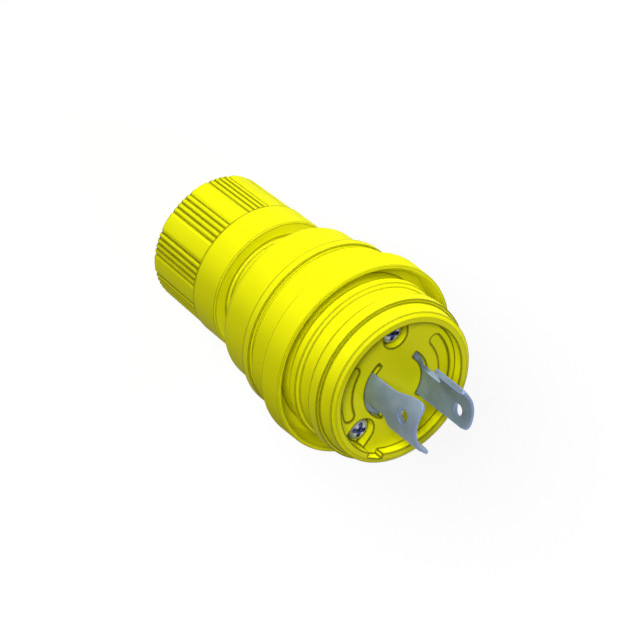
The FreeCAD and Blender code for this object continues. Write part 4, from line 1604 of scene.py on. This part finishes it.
@dataclass(frozen=True)
class Studio:
    """Floor, world, lamps and the camera.

    The camera looks down on the face from camera_angle and camera_rise. pixel is the size of a
    picture point in millimetres, lip_px is where the middle of the housing's lip stands in the
    picture, right and down from its corner, and axis_px is the way that the blades point in it.
    """

    camera_angle: float = 146.0
    camera_rise: float = 41.9
    camera_distance: float = 600.0
    near_clip: float = 10.0
    far_clip: float = 10000.0
    image_px: float = 640.0
    pixel: float = 0.275
    lip_px: Span = (401.4, 388.6)
    axis_px: Span = (0.7826, 0.6225)
    ambient: float = 0.13
    key_angle: float = 88.0
    key_rise: float = 2.0
    key_power: float = 3.1
    key_size: float = 12.0
    front_rise: float = 32.0
    front_power: float = 2.1
    front_size: float = 20.0
    back_rise: float = 10.0
    back_power: float = 1.0
    back_size: float = 40.0
    floor_size: float = 4000.0
    floor_gap: float = 0.05
    floor_tone: float = 0.25
    floor_fill: float = 0.865

    def toward(self, angle: float, rise: float) -> Vector:
        """The direction at an angle round the plug's axis and a rise above the floor.

        Args:
            angle: The angle round the axis.
            rise: The rise above the floor.

        Returns:
            The direction, one long.
        """
        flat = math.cos(math.radians(rise))
        turned = math.radians(angle)
        return Vector((flat * math.cos(turned), flat * math.sin(turned),
                       math.sin(math.radians(rise))))

    def place_camera(self, lip: float) -> None:
        """Set the camera at the photograph's viewing angle, rolled so that the plug lies aslant.

        Args:
            lip: The housing's lip in millimetres, which fixes the framing.
        """
        back = self.toward(self.camera_angle, self.camera_rise)
        side = self.toward(self.camera_angle + 90, 0)
        rising = back.cross(side)
        along, down = self.axis_px
        right = along * rising - down * side
        up = -(down * rising + along * side)
        middle = self.image_px / 2
        lip_right, lip_down = ((value - middle) * self.pixel for value in self.lip_px)
        aim = Vector((0, 0, lip)) - right * lip_right + up * lip_down
        data = bpy.data.cameras.new("view")
        data.type = "ORTHO"
        data.ortho_scale = self.image_px * self.pixel * MM
        data.clip_start = self.near_clip * MM
        data.clip_end = self.far_clip * MM
        camera = bpy.data.objects.new("view", data)
        bpy.context.scene.collection.objects.link(camera)
        turned = Matrix((right, up, back)).transposed().to_4x4()
        camera.matrix_world = Matrix.Translation((aim + back * self.camera_distance) * MM) @ turned
        bpy.context.scene.camera = camera

    def add_sun(self, name: str, toward: Vector, power: float, size: float) -> None:
        """Add a soft distant lamp.

        Args:
            name: The lamp's name.
            toward: Where the light comes from.
            power: Its strength.
            size: Its apparent size in degrees.
        """
        data = bpy.data.lights.new(name, "SUN")
        data.energy = power
        data.angle = math.radians(size)
        lamp = bpy.data.objects.new(name, data)
        bpy.context.scene.collection.objects.link(lamp)
        lamp.rotation_euler = toward.to_track_quat("Z", "Y").to_euler()

    def seen(self, board: Board) -> bpy.types.NodeSocket:
        """Whether a ray comes from the camera, a mirror or glass.

        Args:
            board: The nodes that the answer joins.

        Returns:
            One or zero.
        """
        path = board.add("LightPath")
        first = board.add("Math", operation="MAXIMUM")
        last = board.add("Math", operation="MAXIMUM")
        board.link(path.outputs["Is Camera Ray"], first.inputs[0])
        board.link(path.outputs["Is Glossy Ray"], first.inputs[1])
        board.link(first.outputs[0], last.inputs[0])
        board.link(path.outputs["Is Transmission Ray"], last.inputs[1])
        return last.outputs[0]

    def light_world(self) -> None:
        """Make the world white to the eye and dim as a lamp."""
        world = bpy.data.worlds.new("studio")
        bpy.context.scene.world = world
        world.use_nodes = True
        board = Board(world.node_tree)
        level = board.add("MapRange", To_Min=self.ambient, To_Max=1.0)
        background = board.add("Background", Color=(1, 1, 1, 1))
        output = board.add("OutputWorld")
        board.link(self.seen(board), level.inputs["Value"])
        board.link(level.outputs["Result"], background.inputs["Strength"])
        board.link(background.outputs["Background"], output.inputs["Surface"])

    def lay_floor(self) -> None:
        """Lay the white floor that the plug stands on, clear to the eye from underneath."""
        deselect()
        bpy.ops.mesh.primitive_plane_add(size=self.floor_size * MM,
                                         location=(0, 0, -self.floor_gap * MM))
        floor = bpy.context.object
        floor.name = "floor"
        board = MaterialBoard("white_floor")
        paper = board.add("BsdfDiffuse", Color=(*[self.floor_tone] * 3, 1))
        glow = board.add("Emission", Color=(1, 1, 1, 1))
        level = board.add("MapRange", To_Min=0.0, To_Max=self.floor_fill)
        both = board.add("AddShader")
        clear = board.add("BsdfTransparent")
        sides = board.add("MixShader")
        output = board.add("OutputMaterial")
        board.link(self.seen(board), level.inputs["Value"])
        board.link(level.outputs["Result"], glow.inputs["Strength"])
        board.link(paper.outputs["BSDF"], both.inputs[0])
        board.link(glow.outputs["Emission"], both.inputs[1])
        board.link(board.add("NewGeometry").outputs["Backfacing"], sides.inputs["Fac"])
        board.link(both.outputs["Shader"], sides.inputs[1])
        board.link(clear.outputs["BSDF"], sides.inputs[2])
        board.link(sides.outputs["Shader"], output.inputs["Surface"])
        dress(floor, board.material)

    def build(self, lip: float) -> None:
        """Set up the studio.

        Args:
            lip: The housing's lip in millimetres.
        """
        bpy.context.scene.view_settings.view_transform = "Standard"
        self.place_camera(lip)
        self.light_world()
        self.lay_floor()
        self.add_sun("key", self.toward(self.key_angle, self.key_rise), self.key_power,
                     self.key_size)
        self.add_sun("front", self.toward(self.camera_angle, self.front_rise),
                     self.front_power, self.front_size)
        self.add_sun("back", self.toward(self.camera_angle + 180, self.back_rise),
                     self.back_power, self.back_size)


@dataclass(frozen=True)
class InnerPieces:
    """The pieces inside the plug that keep the frame's own meshes."""

    nodes: tuple[tuple[str, Slot], ...] = (
        ("carrier_gasket", Slot.BLACK_RUBBER),
        ("terminal_body", Slot.DARK_INSULATOR),
        ("terminal_screw_wide", Slot.SCREW_STEEL),
        ("terminal_screw_narrow", Slot.SCREW_BRASS),
        ("clamp_nut_wide", Slot.SCREW_BRASS),
        ("clamp_nut_narrow", Slot.SCREW_BRASS),
        ("thread_insert_upper", Slot.SCREW_BRASS),
        ("thread_insert_lower", Slot.SCREW_BRASS),
        ("retainer_screw_upper", Slot.SCREW_STEEL),
        ("retainer_screw_lower", Slot.SCREW_STEEL),
    )

    def dress_all(self, frame: dict, finishes: dict[Slot, bpy.types.Material]) -> None:
        """Give each inner piece its finish.

        Args:
            frame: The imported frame.
            finishes: The materials by slot.
        """
        for name, slot in self.nodes:
            dress(frame["nodes"][name], finishes[slot])
            log.info("%s: keeps its frame mesh", name)


def make_finishes() -> dict[Slot, bpy.types.Material]:
    """Make one material for each of the record's slots.

    Returns:
        The materials by slot.
    """
    return {slot: finish.build() for slot, finish in FINISHES.items()}


def main() -> None:
    """Build the plug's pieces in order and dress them."""
    logging.basicConfig(level=logging.INFO, format="%(message)s")
    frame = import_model()
    deselect()
    heights = Heights.read()
    finishes = make_finishes()
    CordNut(heights).build(finishes[Slot.YELLOW_NYLON])
    CordSeal(heights).build(finishes[Slot.SLIP_NYLON], finishes[Slot.BLACK_RUBBER])
    Housing(heights).build(finishes[Slot.YELLOW_NYLON])
    SealSkirt(heights).build(finishes[Slot.YELLOW_RUBBER])
    BladeCarrier(heights).build(finishes[Slot.YELLOW_NYLON])
    wide = LockingBlade(heights, "blade_wide", "wide_blade", neck=(155.0, 204.5),
                        head=(143.0, 253.5), slot=PLAN.wide_slot, flare=(11.2, 17.6))
    narrow = LockingBlade(heights, "blade_narrow", "narrow_blade", neck=(-23.5, 26.0),
                          head=(-23.5, 64.0), slot=PLAN.narrow_slot)
    for blade in (wide, narrow):
        blade.build(finishes[Slot.BLADE_METAL])
    upper = AssemblyScrew(heights, "face_screw_upper", "assembly_screw_upper", PLAN.upper_screw)
    lower = AssemblyScrew(heights, "face_screw_lower", "assembly_screw_lower", PLAN.lower_screw)
    for screw in (upper, lower):
        screw.build(finishes[Slot.SCREW_STEEL])
    InnerPieces().dress_all(frame, finishes)
    Studio().build(heights.lip)


if __name__ == "__main__":
    main()
